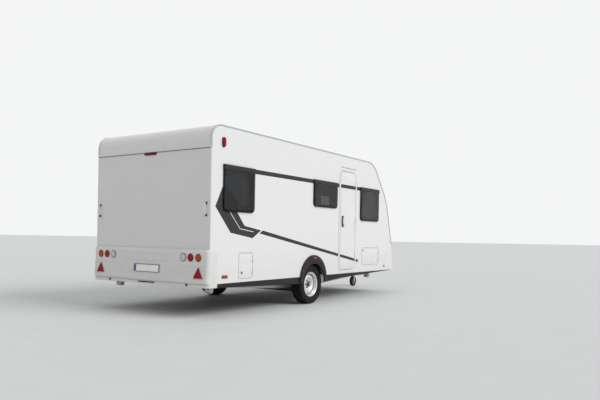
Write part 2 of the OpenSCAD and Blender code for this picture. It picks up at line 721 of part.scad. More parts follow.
// ---- Corner steadies: a channel leg on a pin, with a round foot; way is where the stowed leg points ----
leg_w = 24;
pad_r = 42;
pad_drop = 40;
module steady(side, x, way) color("silver") translate([x, side * steady_y, steady_z]) difference() {
    union() {
        y_cylinder(0, -leg_w, leg_w, 0, 20);
        translate([way > 0 ? 0 : -steady_l, -leg_w, -20]) cube([steady_l, 2 * leg_w, 6]);
        for (y = [-leg_w, leg_w - 4]) translate([way > 0 ? 0 : -steady_l, y, -20]) cube([steady_l, 4, 34]);
        y_cylinder(way * steady_l, -45, 45, -pad_drop, pad_r);
    }
    y_cylinder(0, -leg_w - 1, leg_w + 1, 0, steady_pin_r + fit);
}

at_centre() chassis_frame();
at_centre() drawbar();
at_centre() axle();
at_centre() floor_panel();
at_centre() side_wall(1);  // side_wall_left
at_centre() side_wall(-1);  // side_wall_right
at_centre() roof_panel();
at_centre() rear_wall();
at_centre() front_wall();
at_centre() front_locker();
at_centre() rear_bumper();
at_centre() skirts();
at_centre() wheel_arches();
at_centre() wheel_boxes();
at_centre() door_frame();
at_centre() window_panes();
at_centre() window_frames();
at_centre() awning_rails();
at_centre() grab_handles();
at_centre() indicator_lamps();
at_centre() tail_lamps();
at_centre() reversing_lamps();
at_centre() warning_triangles();
at_centre() side_markers();
at_centre() number_plate();
at_centre() roof_vents();
at_centre() side_vents();
at_centre() hitch_housing();
at_centre() hitch_gaiter();
at_centre() coupling_head();
at_centre() handbrake_lever();
at_centre() jockey_clamp();
at_centre() door_leaf();
at_centre() door_handle();
at_centre() service_flap();
at_centre() storage_flap();
at_centre() gas_locker_lid();
at_centre() about_wheel(1) tyre();  // tyre_left
at_centre() about_wheel(1) rim();  // rim_left
at_centre() about_wheel(1) drum();  // drum_left
at_centre() about_wheel(-1) tyre();  // tyre_right
at_centre() about_wheel(-1) rim();  // rim_right
at_centre() about_wheel(-1) drum();  // drum_right
at_centre() jockey_tube();
at_centre() jockey_fork();
at_centre() jockey_wheel();
at_centre() steady(1, rear_pivot_x, -1);  // steady_rear_left
at_centre() steady(-1, rear_pivot_x, -1);  // steady_rear_right
at_centre() steady(1, front_pivot_x, 1);  // steady_front_left
at_centre() steady(-1, front_pivot_x, 1);  // steady_front_right
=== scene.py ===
import json
import math

import bmesh
import bpy
from mathutils import Matrix, Vector


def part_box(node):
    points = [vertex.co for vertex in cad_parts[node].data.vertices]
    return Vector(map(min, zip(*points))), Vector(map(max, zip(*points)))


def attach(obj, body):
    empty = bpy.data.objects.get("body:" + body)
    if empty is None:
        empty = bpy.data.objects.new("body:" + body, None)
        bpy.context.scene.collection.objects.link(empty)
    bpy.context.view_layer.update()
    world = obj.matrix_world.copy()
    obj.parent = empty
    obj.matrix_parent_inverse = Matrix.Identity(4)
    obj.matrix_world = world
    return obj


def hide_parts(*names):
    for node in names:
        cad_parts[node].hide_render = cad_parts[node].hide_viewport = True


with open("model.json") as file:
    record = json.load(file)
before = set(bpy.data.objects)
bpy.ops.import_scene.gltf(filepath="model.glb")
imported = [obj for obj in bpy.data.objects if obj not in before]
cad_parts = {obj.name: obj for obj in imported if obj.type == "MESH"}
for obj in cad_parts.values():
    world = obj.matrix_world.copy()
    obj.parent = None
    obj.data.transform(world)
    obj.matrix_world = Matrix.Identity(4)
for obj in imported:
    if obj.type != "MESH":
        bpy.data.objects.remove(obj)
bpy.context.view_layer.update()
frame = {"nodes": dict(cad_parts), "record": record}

# ---- Studio ----
# A pale level floor and plain soft light. The lamp stands off the door side, so the
# long wall is the brightest face and the tail is a step darker.
scene = bpy.context.scene
scene.view_settings.view_transform = "Standard"
eye = Vector((-9.245, -6.453, 1.125))
eye_yaw = math.radians(33.67)
eye_roll = math.radians(1.025)
look = Vector((math.cos(eye_yaw), math.sin(eye_yaw), 0))
level = look.cross(Vector((0, 0, 1)))
eye_right = math.cos(eye_roll) * level + math.sin(eye_roll) * Vector((0, 0, 1))
eye_up = math.cos(eye_roll) * Vector((0, 0, 1)) - math.sin(eye_roll) * level
camera = bpy.data.objects.new("eye", bpy.data.cameras.new("eye"))
camera.matrix_world = Matrix.Translation(eye) @ Matrix((eye_right, eye_up, -look)).transposed().to_4x4()
camera.data.lens = 35.3
camera.data.shift_y = 0.0612
camera.data.clip_end = 200
scene.collection.objects.link(camera)
scene.camera = camera

lamp_from = Vector((0.2, -0.78, 0.6))
lamp = bpy.data.objects.new("soft_lamp", bpy.data.lights.new("soft_lamp", "SUN"))
lamp.data.energy = 1.57
lamp.data.angle = math.radians(32)
lamp.rotation_euler = lamp_from.to_track_quat("Z", "Y").to_euler()
scene.collection.objects.link(lamp)


def put(tree, kind, values=None, **props):
    """Adds one node. values sets or links its inputs, by name or by place."""
    node = tree.nodes.new(kind)
    for key, value in props.items():
        setattr(node, key, value)
    for key, value in (values or {}).items():
        if isinstance(value, bpy.types.NodeSocket):
            tree.links.new(value, node.inputs[key])
        else:
            node.inputs[key].default_value = value
    return node


def seen_directly(tree):
    """1 for what the eye, a reflection or a pane shows, 0 for what lights the object."""
    path = put(tree, "ShaderNodeLightPath")
    shown = put(tree, "ShaderNodeMath", {0: path.outputs["Is Camera Ray"],
                1: path.outputs["Is Glossy Ray"]}, operation="MAXIMUM")
    return put(tree, "ShaderNodeMath", {0: shown.outputs[0],
               1: path.outputs["Is Transmission Ray"]}, operation="MAXIMUM").outputs[0]


world = bpy.data.worlds.new("room")
world.use_nodes = True
scene.world = world
room = world.node_tree
sky = room.nodes["Background"]
sky_tone = put(room, "ShaderNodeMix", {0: seen_directly(room), "A": (0.57, 0.57, 0.573, 1),
               "B": (0.91, 0.915, 0.92, 1)}, data_type="RGBA")
# the colour sockets of a Mix node are its third pair
room.links.new(sky_tone.outputs[2], sky.inputs["Color"])

floor_mesh = bpy.data.meshes.new("studio_floor")
floor_half = 400
floor_mesh.from_pydata([(-floor_half, -floor_half, 0), (floor_half, -floor_half, 0),
                        (floor_half, floor_half, 0), (-floor_half, floor_half, 0)], [], [(0, 1, 2, 3)])
floor_object = bpy.data.objects.new("studio_floor", floor_mesh)
scene.collection.objects.link(floor_object)
floor_finish = bpy.data.materials.new("studio_floor")
floor_finish.use_nodes = True
floor_tree = floor_finish.node_tree
floor_noise = put(floor_tree, "ShaderNodeTexNoise", {"Scale": 3.0, "Detail": 3.0,
                  "Vector": put(floor_tree, "ShaderNodeTexCoord").outputs["Object"]})
floor_tone = put(floor_tree, "ShaderNodeValToRGB", {0: floor_noise.outputs[0]})
floor_tone.color_ramp.elements[0].color = (0.68, 0.69, 0.69, 1)
floor_tone.color_ramp.elements[1].color = (0.73, 0.74, 0.74, 1)
floor_shader = floor_tree.nodes["Principled BSDF"]
floor_shader.inputs["Roughness"].default_value = 0.8
floor_tree.links.new(floor_tone.outputs[0], floor_shader.inputs["Base Color"])
floor_mesh.materials.append(floor_finish)

# ---- Chassis and drawbar ----
# Two folded steel channels with cross members, hot-dip galvanised after folding, so the
# zinc shows its spangle. The drawbar's hollow bars lie inside them, held by bolts.
body_name = "caravan_body"
node_of = frame["nodes"]


def shader_group(name, ins, outs=("Colour", "Roughness", "Height")):
    """A named group of shader nodes. ins gives each input's usual value: a colour or a number."""
    tree = bpy.data.node_groups.new(name, "ShaderNodeTree")
    for label, value in ins.items():
        kind = "Color" if isinstance(value, tuple) else "Float"
        tree.interface.new_socket(label, in_out="INPUT",
                                  socket_type="NodeSocket" + kind).default_value = value
    for label in outs:
        kind = "Color" if label == "Colour" else "Float"
        tree.interface.new_socket(label, in_out="OUTPUT", socket_type="NodeSocket" + kind)
    return tree, tree.nodes.new("NodeGroupInput").outputs, tree.nodes.new("NodeGroupOutput").inputs


def math_node(tree, operation, a, b=0.0, clamp=False):
    return put(tree, "ShaderNodeMath", {0: a, 1: b}, operation=operation, use_clamp=clamp).outputs[0]


def times(tree, a, b):
    return math_node(tree, "MULTIPLY", a, b)


def plus(tree, a, b):
    return math_node(tree, "ADD", a, b)


def object_place(tree):
    return put(tree, "ShaderNodeTexCoord").outputs["Object"]


def noise(tree, place, scale, detail, roughness=0.5):
    return put(tree, "ShaderNodeTexNoise", {"Vector": place, "Scale": scale, "Detail": detail,
                                            "Roughness": roughness}).outputs[0]


def darker(tree, colour, share):
    return put(tree, "ShaderNodeVectorMath", {0: colour, "Scale": share}, operation="SCALE").outputs[0]


def give(tree, result, **outs):
    """Links values to a group's outputs."""
    for name, value in outs.items():
        tree.links.new(value, result[name])


def blend_colour(tree, factor, a, b):
    mix = put(tree, "ShaderNodeMix", data_type="RGBA")
    for key, value in ((0, factor), (6, a), (7, b)):
        if isinstance(value, bpy.types.NodeSocket):
            tree.links.new(value, mix.inputs[key])
        else:
            mix.inputs[key].default_value = value
    return mix.outputs[2]


# Zinc spangle: flat crystals a little lighter or darker than each other, with dull patches
spangle, given, result = shader_group("zinc_spangle",
                                      {"Colour": (0.5, 0.51, 0.52, 1), "Crystal": 70.0, "Contrast": 0.2})
zinc_place = object_place(spangle)
zinc_cells = put(spangle, "ShaderNodeTexVoronoi", {"Vector": zinc_place, "Scale": given["Crystal"]})
zinc_value = put(spangle, "ShaderNodeSeparateColor", {0: zinc_cells.outputs["Color"]}).outputs[0]
zinc_patch = noise(spangle, zinc_place, 6.0, 5.0)
zinc_mix = times(spangle, plus(spangle, zinc_value, zinc_patch), given["Contrast"])
zinc_dark = darker(spangle, given["Colour"], 0.55)
give(spangle, result, Colour=blend_colour(spangle, zinc_mix, given["Colour"], zinc_dark),
     Roughness=plus(spangle, times(spangle, zinc_value, 0.15), 0.38), Height=zinc_patch)


def finish(name, group=None, settings=None, bump=0.0, **values):
    """A material. The group's Colour, Roughness and Height feed it, settings are the shader's own
    constants, and bump is the height of the surface's grain in metres."""
    made = bpy.data.materials.new(name)
    made.use_nodes = True
    tree = made.node_tree
    shader = tree.nodes["Principled BSDF"]
    for key, value in (settings or {}).items():
        shader.inputs[key].default_value = value
    if group:
        node = put(tree, "ShaderNodeGroup", node_tree=group)
        for key, value in values.items():
            shown = (*value, 1) if isinstance(value, tuple) else value
            node.inputs[key.replace("_", " ")].default_value = shown
        for key, socket in (("Colour", "Base Color"), ("Roughness", "Roughness"), ("Metallic", "Metallic")):
            if key in node.outputs:
                tree.links.new(node.outputs[key], shader.inputs[socket])
        if bump:
            relief = put(tree, "ShaderNodeBump",
                         {"Height": node.outputs["Height"], "Distance": bump, "Strength": 1.0})
            tree.links.new(relief.outputs[0], shader.inputs["Normal"])
    return made


galvanised = finish("galvanised_steel", spangle, {"Metallic": 0.75}, bump=0.0004,
                    Colour=(0.56, 0.57, 0.58), Crystal=55.0, Contrast=0.32)


class Shape:
    """The corners and faces of one piece. New faces take finish number tone."""

    def __init__(self):
        self.verts, self.faces, self.tones, self.tone = [], [], [], 0

    def face(self, corners):
        self.faces.append(tuple(corners))
        self.tones.append(self.tone)

    def loft(self, loops, ring=False, place=None):
        """Skins over closed loops with equal numbers of points. A ring joins the last loop to the
        first; otherwise the two ends are capped."""
        base, n, m = len(self.verts), len(loops[0]), len(loops)
        for loop in loops:
            for p in loop:
                self.verts.append(place @ Vector(p) if place else Vector(p))
        for i in range(m if ring else m - 1):
            a, b = base + i * n, base + (i + 1) % m * n
            for j in range(n):
                k = (j + 1) % n
                self.face((a + j, a + k, b + k, b + j))
        if not ring:
            self.face(reversed(range(base, base + n)))
            self.face(range(base + (m - 1) * n, base + m * n))
        return self

    def turned(self, profile, steps=48, ring=False, place=None):
        """A lathe shape: profile points are radius and height on the z axis."""
        angles = [2 * math.pi * i / steps for i in range(steps)]
        return self.loft([[(r * math.cos(t), r * math.sin(t), h) for t in angles] for r, h in profile],
                         ring, place)

    def plate(self, width, height, radius, rows, place, ring=False, square_top=False):
        """A rounded plate, or a rounded frame if it is a ring. rows give the inset of the outline
        and the depth, from the back of the plate to its front."""
        return self.loft([[(u, v, depth) for u, v in round_loop(width, height, radius, inset, square_top)]
                          for inset, depth in rows], ring, place)

    def make(self, name, *finishes, crease=35):
        mesh = bpy.data.meshes.new(name)
        mesh.from_pydata([tuple(v) for v in self.verts], [], self.faces)
        mesh.polygons.foreach_set("material_index", self.tones)
        work = bmesh.new()
        work.from_mesh(mesh)
        bmesh.ops.remove_doubles(work, verts=work.verts, dist=1e-6)
        bmesh.ops.dissolve_degenerate(work, edges=work.edges, dist=1e-7)
        bmesh.ops.recalc_face_normals(work, faces=work.faces)
        work.to_mesh(mesh)
        work.free()
        return stand(name, mesh, finishes, crease)


def stand(name, mesh, finishes, crease):
    """An object at the origin that shows mesh, smooth except where faces meet sharply."""
    for one in finishes:
        mesh.materials.append(one)
    mesh.shade_smooth()
    mesh.set_sharp_from_angle(angle=math.radians(crease))
    made = bpy.data.objects.new(name, mesh)
    scene.collection.objects.link(made)
    return made


def round_loop(width, height, radius, inset=0.0, square_top=False):
    """Points round a rounded rectangle about the origin, seen from its front."""
    w, h = width / 2 - inset, height / 2 - inset
    points = []
    for quarter, (su, sv) in enumerate(((1, 1), (-1, 1), (-1, -1), (1, -1))):
        r = min(max((0.004 if square_top and sv > 0 else radius) - inset, 0.0005), w, h)
        for i in range(7):
            t = math.radians(90 * quarter + 15 * i)
            points.append((su * (w - r) + r * math.cos(t), sv * (h - r) + r * math.sin(t)))
    return points


def facing(at, out, up=(0, 0, 1)):
    """The place of a flat piece: its own x runs to the right, y up and z out of the surface."""
    out, up = Vector(out).normalized(), Vector(up).normalized()
    return Matrix.Translation(at) @ Matrix((up.cross(out), up, out)).transposed().to_4x4()


def fit(piece, slot, *stands_for, body=body_name):
    """Fixes a finished piece to a body and hides the nodes it stands for. The slot argument is not used."""
    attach(piece, body)
    if stands_for:
        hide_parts(*stands_for)
    return piece


def cover(node, made):
    """A CAD node keeps its shape and takes a finish."""
    shown = node_of[node]
    if not shown.material_slots:
        shown.data.materials.append(made)
    for place in shown.material_slots:
        place.material = made


def eased(node, made, width, slot, body=body_name, crease=35):
    """The node's own shape with its sharp edges rounded off, in place of the node."""
    mesh = node_of[node].data.copy()
    mesh.materials.clear()
    work = bmesh.new()
    work.from_mesh(mesh)
    bmesh.ops.remove_doubles(work, verts=work.verts, dist=1e-5)
    bmesh.ops.dissolve_limit(work, angle_limit=math.radians(0.5), verts=work.verts, edges=work.edges)
    edges = [e for e in work.edges if e.is_manifold and e.calc_face_angle(0) > math.radians(crease)]
    bmesh.ops.bevel(work, geom=edges, offset=width, segments=2, profile=0.6, affect="EDGES",
                    clamp_overlap=True)
    bmesh.ops.triangulate(work, faces=[f for f in work.faces if len(f.verts) > 4])
    work.to_mesh(mesh)
    work.free()
    mesh.name = node + "_shape"
    for polygon in mesh.polygons:
        polygon.material_index = 0
    for name in [a.name for a in mesh.attributes if a.name.startswith("custom_normal")]:
        mesh.attributes.remove(mesh.attributes[name])
    piece = stand(node + "_shape", mesh, [made], crease)
    return fit(piece, slot, node, body=body)


for steel in ("chassis_frame", "drawbar"):
    eased(steel, galvanised, 0.0025, "galvanised_steel")


def growth(name, ins):
    """A new tree of geometry nodes with a mesh input, named inputs and a finish."""
    tree = bpy.data.node_groups.new(name, "GeometryNodeTree")
    for label, kind, value in [("Item", "Geometry", None), *ins, ("Finish", "Material", None)]:
        socket = tree.interface.new_socket(label, in_out="INPUT", socket_type="NodeSocket" + kind)
        if value is not None:
            socket.default_value = value
    tree.interface.new_socket("Pieces", in_out="OUTPUT", socket_type="NodeSocketGeometry")
    return tree, tree.nodes.new("NodeGroupInput").outputs, tree.nodes.new("NodeGroupOutput").inputs


def end_growth(tree, given, result, geometry):
    real = put(tree, "GeometryNodeRealizeInstances", {0: geometry})
    painted = put(tree, "GeometryNodeSetMaterial",
                  {"Geometry": real.outputs[0], "Material": given["Finish"]})
    tree.links.new(painted.outputs[0], result[0])


def grown(tree, name, item, made, place=None, crease=35, **values):
    """Runs a tree on one item's mesh and keeps the result as a plain mesh in its place."""
    item.make(name, crease=crease)
    piece = bpy.data.objects[name]
    step = piece.modifiers.new("grow", "NODES")
    step.node_group = tree
    sockets = {s.name: s.identifier for s in tree.interface.items_tree
               if s.item_type == "SOCKET" and s.in_out == "INPUT"}
    for key, value in {**values, "Finish": made}.items():
        step[sockets[key]] = value
    bpy.context.view_layer.update()
    mesh = bpy.data.meshes.new_from_object(piece.evaluated_get(bpy.context.evaluated_depsgraph_get()))
    piece.modifiers.clear()
    old = piece.data
    piece.data = mesh
    bpy.data.meshes.remove(old)
    mesh.name = name
    mesh.transform(place or Matrix.Identity(4))
    return piece


# A straight row of one item: bolts, screws, slats
row_tree, given, result = growth("row_of_items", [("Count", "Int", 4), ("Step", "Vector", (0.1, 0, 0))])
row_line = put(row_tree, "GeometryNodeMeshLine", {"Count": given["Count"], "Offset": given["Step"]},
               mode="OFFSET")
row_all = put(row_tree, "GeometryNodeInstanceOnPoints",
              {"Points": row_line.outputs[0], "Instance": given["Item"]})
end_growth(row_tree, given, result, row_all.outputs[0])

# The bolts that hold each drawbar bar to its channel, through the channel's web
bolt_r = 0.009


def bolt_head(radius=bolt_r):
    """A hexagon head on its washer, standing on the xy plane."""
    made = Shape()
    made.turned([(radius * 1.15, 0), (radius * 1.15, 0.0016), (0, 0.0016)], 16)
    made.turned([(radius, 0.0016), (radius, 0.0066), (radius * 0.86, 0.0078), (0, 0.0078)], 6)
    return made


zinc_bolt = finish("zinc_bolt", spangle, {"Metallic": 0.9}, bump=0.0002,
                   Colour=(0.62, 0.61, 0.56), Crystal=300.0, Contrast=0.15)
side_of = {1: "left", -1: "right"}
bolt_step = 0.11
bolt_rows = (0.385, 0.425)
# how far along the channel the first bolt stands
bolts_from = 0.56
for side in (1, -1):
    # the channel's web runs in towards the hitch, and the bolts stand on its outer face
    web_foot = Vector((0.233, side * 0.85, 0))
    web = Vector((2.43, side * 0.055, 0)) - web_foot
    out = Vector((-web.y, web.x, 0)).normalized() * side
    first = web_foot + web * bolts_from
    for row, height in enumerate(bolt_rows):
        bolts = grown(row_tree, f"bar_bolts_{side_of[side]}_{row}", bolt_head(), zinc_bolt, Count=4,
                      Step=(side * -bolt_step, 0, 0), place=facing((first.x, first.y, height), out))
        fit(bolts, "hitch_steel")

# ---- Axle ----
# A rubber-sprung axle: a square-shouldered tube with a trailing arm and a brake back plate at
# each end, dipped in grey paint that has taken road grit and a little rust.
def over(tree, value, low, high, top=1.0):
    """Rises from 0 at low to top at high, and stays level beyond them."""
    return put(tree, "ShaderNodeMapRange", {"Value": value, "From Min": low, "From Max": high,
                                            "To Max": top}).outputs[0]


grit, given, result = shader_group("road_worn_paint",
                                   {"Colour": (0.1, 0.1, 0.1, 1), "Grit": (0.19, 0.16, 0.13, 1),
                                    "Amount": 0.5, "Smooth": 0.45})
grit_place = object_place(grit)
grit_noise = noise(grit, grit_place, 11.0, 8.0, 0.65)
grit_mask = over(grit, grit_noise, 0.46, 0.68, given["Amount"])
grit_fine = noise(grit, grit_place, 420.0, 2.0)
give(grit, result, Colour=blend_colour(grit, grit_mask, given["Colour"], given["Grit"]),
     Roughness=plus(grit, given["Smooth"], times(grit, grit_mask, 0.4)), Height=grit_fine)

axle_paint = finish("axle_paint", grit, {"Metallic": 0.1}, bump=0.0003, Colour=(0.075, 0.078, 0.082),
                    Amount=0.75)
eased("axle", axle_paint, 0.002, "axle_paint")
drum_iron = finish("drum_iron", grit, {"Metallic": 0.6}, bump=0.0005, Colour=(0.11, 0.10, 0.095),
                   Grit=(0.23, 0.12, 0.06), Amount=0.8, Smooth=0.5)
for side in (1, -1):
    eased(f"drum_{side_of[side]}", drum_iron, 0.002, "drum_iron", body=f"wheel_{side_of[side]}")

# ---- Road wheels ----
# A pressed steel wheel in silver lacquer: a rolled barrel with a lip, and a dished disc with
# slots near its edge, on five bolts. The tyre's tread blocks are cut round a plain casing.
tyre_lo, tyre_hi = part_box("tyre_left")
tyre_r = (tyre_hi.z - tyre_lo.z) / 2
tyre_half = (tyre_hi.y - tyre_lo.y) / 2
wheel_at = {side: Vector((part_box(f"tyre_{side_of[side]}")[0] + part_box(f"tyre_{side_of[side]}")[1]) / 2)
            for side in (1, -1)}
rim_r = 0.190
lip_r = 0.206
rim_half = 0.080
tread_depth = 0.007
# the shoulder's blocks start at this distance from the tyre's middle plane
shoulder_y = 0.0585
block_count = 56

rubber, given, result = shader_group("road_rubber",
                                     {"Colour": (0.018, 0.018, 0.019, 1), "Dust": (0.11, 0.10, 0.09, 1),
                                      "Amount": 0.3})
rubber_place = object_place(rubber)
rubber_noise = noise(rubber, rubber_place, 16.0, 6.0)
rubber_mask = over(rubber, rubber_noise, 0.4, 0.75, given["Amount"])
rubber_fine = noise(rubber, rubber_place, 650.0, 2.0)
give(rubber, result, Colour=blend_colour(rubber, rubber_mask, given["Colour"], given["Dust"]),
     Roughness=plus(rubber, times(rubber, rubber_mask, 0.3), 0.62), Height=rubber_fine)
tyre_rubber = finish("tyre_rubber", rubber, {"Specular IOR Level": 0.15}, bump=0.0002,
                     Colour=(0.010, 0.010, 0.011), Amount=0.16)

lacquer, given, result = shader_group("silver_lacquer",
                                      {"Colour": (0.55, 0.56, 0.57, 1), "Flake": 900.0, "Brake dust": 0.4},
                                      ("Colour", "Roughness", "Metallic", "Height"))
flake_place = object_place(lacquer)
flake = put(lacquer, "ShaderNodeTexVoronoi", {"Vector": flake_place, "Scale": given["Flake"]})
flake_value = put(lacquer, "ShaderNodeSeparateColor", {0: flake.outputs["Color"]}).outputs[0]
dust_noise = noise(lacquer, flake_place, 28.0, 6.0)
dust_mask = over(lacquer, dust_noise, 0.5, 0.85, given["Brake dust"])
flake_tone = blend_colour(lacquer, times(lacquer, flake_value, 0.12), given["Colour"],
                          (0.25, 0.25, 0.26, 1))
give(lacquer, result, Colour=blend_colour(lacquer, dust_mask, flake_tone, (0.09, 0.075, 0.065, 1)),
     Roughness=plus(lacquer, times(lacquer, dust_mask, 0.5), 0.3),
     Metallic=math_node(lacquer, "SUBTRACT", 0.55, times(lacquer, dust_mask, 0.5)), Height=dust_noise)
rim_silver = finish("rim_silver", lacquer, {"Coat Weight": 0.4, "Coat Roughness": 0.15}, bump=0.00005,
                    Colour=(0.78, 0.79, 0.80), Brake_dust=0.25)

# A ring of one item that stands on a circle, its own x pointing outwards
ring_tree, given, result = growth("ring_of_items", [("Count", "Int", 12), ("Radius", "Float", 0.1)])
ring_circle = put(ring_tree, "GeometryNodeMeshCircle",
                  {"Vertices": given["Count"], "Radius": given["Radius"]})
ring_out = put(ring_tree, "FunctionNodeAlignRotationToVector", {
    "Vector": put(ring_tree, "GeometryNodeInputPosition").outputs[0]}, axis="X", pivot_axis="Z")
ring_all = put(ring_tree, "GeometryNodeInstanceOnPoints", {
    "Points": ring_circle.outputs[0], "Instance": given["Item"], "Rotation": ring_out.outputs[0]})
end_growth(ring_tree, given, result, ring_all.outputs[0])


def about(side):
    """The place of a wheel whose axis is drawn as z, with its outer face towards +z."""
    return Matrix.Translation(wheel_at[side]) @ Matrix.Rotation(-side * math.pi / 2, 4, "X")


def tyre_section():
    """Round the casing: bead, bulged wall, shoulder, crown with three grooves, and back."""
    crown = tyre_r - tread_depth
    half = [(rim_r + 0.0005, rim_half - 0.012), (rim_r + 0.004, rim_half - 0.009),
            (rim_r + 0.019, rim_half - 0.003), (rim_r + 0.024, rim_half + 0.006),
            (rim_r + 0.034, tyre_half - 0.006), (rim_r + 0.044, tyre_half - 0.003),
            (rim_r + 0.046, tyre_half - 0.0015), (rim_r + 0.049, tyre_half - 0.0015),
            (rim_r + 0.052, tyre_half - 0.0028), (rim_r + 0.066, tyre_half),
            (rim_r + 0.082, tyre_half - 0.002), (rim_r + 0.098, tyre_half - 0.007),
            (crown - 0.021, tyre_half - 0.012), (crown - 0.011, tyre_half - 0.017),
            (crown - 0.004, tyre_half - 0.024), (crown, tyre_half - 0.034)]
    ribs = [(tyre_r - 0.0012, 0.055), (tyre_r - 0.0008, 0.042), (crown, 0.040), (crown, 0.030),
            (tyre_r - 0.0004, 0.028), (tyre_r, 0.008), (crown, 0.006), (crown, 0.0)]
    side_up = half + [(crown, shoulder_y)] + ribs
    return side_up + [(r, -h) for r, h in reversed(side_up[:-1])]


def tread_block():
    """One shoulder block, sipes towards the wall, standing on the casing at the origin."""
    made = Shape()
    long, wide = 0.0160, 0.030
    made.loft([[(-0.012, -long, 0), (-0.012, long, 0), (-0.018, long, wide), (-0.018, -long, wide)],
               [(tread_depth - 0.0016, -long, 0), (tread_depth - 0.0016, long, 0),
                (tread_depth - 0.0060, long, wide), (tread_depth - 0.0060, -long, wide)],
               [(tread_depth - 0.0008, -long + 0.001, 0.001), (tread_depth - 0.0008, long - 0.001, 0.001),
                (tread_depth - 0.0056, long - 0.001, wide - 0.001),
                (tread_depth - 0.0056, -long + 0.001, wide - 0.001)]])
    return made


def dish(r):
    """Height of the disc's outer face at radius r, measured from the wheel's middle plane."""
    steps = [(0.0, 0.012), (0.072, 0.012), (0.082, 0.017), (0.104, 0.040), (0.118, 0.045), (0.135, 0.043),
             (0.160, 0.033), (0.176, 0.024), (0.189, 0.021)]
    for (r0, h0), (r1, h1) in zip(steps, steps[1:]):
        if r <= r1:
            t = (r - r0) / (r1 - r0)
            return h0 + (h1 - h0) * t * t * (3 - 2 * t)
    return steps[-1][1]


def pressed_disc():
    """The disc with its slots and bolt holes. Each sector's mesh runs from its border to its hole."""
    made = Shape()
    disc_t = 0.0045
    around = 120

    def zone(count, r0, r1, half_r, half_arc, power, at):
        middle = (r0 + r1) / 2
        arc, rise = around // count, 5
        for i in range(count):
            a0, a1 = 2 * math.pi * i / count, 2 * math.pi * (i + 1) / count
            centre_a = (a0 + a1) / 2
            border = [(r0, a0 + (a1 - a0) * k / arc) for k in range(arc)]
            border += [(r0 + (r1 - r0) * k / rise, a1) for k in range(rise)]
            border += [(r1, a1 + (a0 - a1) * k / arc) for k in range(arc)]
            border += [(r1 + (r0 - r1) * k / rise, a0) for k in range(rise)]
            hole = []
            for r, a in border:
                u, v = (r - middle) / ((r1 - r0) / 2), (a - centre_a) / ((a1 - a0) / 2)
                size = (abs(u) ** power + abs(v) ** power) ** (1 / power)
                hole.append((at + half_r * u / size, centre_a + half_arc / at * v / size))
            rows = [[(r + (hr - r) * share, a + (ha - a) * share)
                     for (r, a), (hr, ha) in zip(border, hole)] for share in (0, 0.45, 0.8, 1)]
            n = len(border)
            for offset, flip in ((0, False), (-disc_t, True)):
                base = len(made.verts)
                for k, row in enumerate(rows):
                    sink = 0.0015 if k == 3 and not flip else 0
                    for r, a in row:
                        made.verts.append(Vector((r * math.cos(a), r * math.sin(a),
                                                  dish(r) + offset - sink)))
                for k in range(3):
                    near, far = base + k * n, base + (k + 1) * n
                    for j in range(n):
                        q = (near + j, near + (j + 1) % n, far + (j + 1) % n, far + j)
                        made.face(reversed(q) if flip else q)
                if not flip:
                    lip = base + 3 * n
                else:
                    for j in range(n):
                        k = (j + 1) % n
                        made.face((lip + j, lip + k, base + 3 * n + k, base + 3 * n + j))

    zone(5, 0.038, 0.072, 0.0085, 0.0085, 2, 0.056)
    zone(20, 0.148, 0.179, 0.0118, 0.0160, 4, 0.1640)
    bands = [(0.072, 0.078, 0.084, 0.094, 0.104, 0.111, 0.118, 0.127, 0.136, 0.148), (0.179, 0.184, 0.1885)]
    for radii in bands + [(0.038,), (0.1885,)]:
        rows = [(r, offset) for offset in (0, -disc_t) for r in radii]
        base = len(made.verts)
        for r, offset in rows:
            for j in range(around):
                a = 2 * math.pi * j / around
                made.verts.append(Vector((r * math.cos(a), r * math.sin(a), dish(r) + offset)))
        for i in range(len(rows) - 1):
            if len(radii) > 1 and i == len(radii) - 1:
                continue
            near, far = base + i * around, base + (i + 1) * around
            for j in range(around):
                k = (j + 1) % around
                made.face((near + j, near + k, far + k, far + j))
    return made


def barrel():
    """The rolled rim: lips, bead seats and the deep well, 3 mm thick."""
    outer = [(lip_r, rim_half - 0.001), (lip_r, rim_half - 0.004), (rim_r + 0.002, rim_half - 0.010),
             (rim_r, rim_half - 0.014), (rim_r, 0.045), (rim_r - 0.010, 0.036), (rim_r - 0.010, 0.030),
             (rim_r, 0.022), (rim_r, -0.040), (rim_r, -rim_half + 0.014),
             (rim_r + 0.002, -rim_half + 0.010), (lip_r, -rim_half + 0.004), (lip_r, -rim_half + 0.001)]
    inner = [(lip_r - 0.004, -rim_half), (rim_r - 0.002, -rim_half + 0.007),
             (rim_r - 0.005, -rim_half + 0.014), (rim_r - 0.005, 0.0), (rim_r - 0.005, 0.020),
             (rim_r - 0.014, 0.030), (rim_r - 0.014, 0.038), (rim_r - 0.005, 0.047),
             (rim_r - 0.005, rim_half - 0.014), (rim_r - 0.002, rim_half - 0.007),
             (lip_r - 0.004, rim_half)]
    return outer + inner


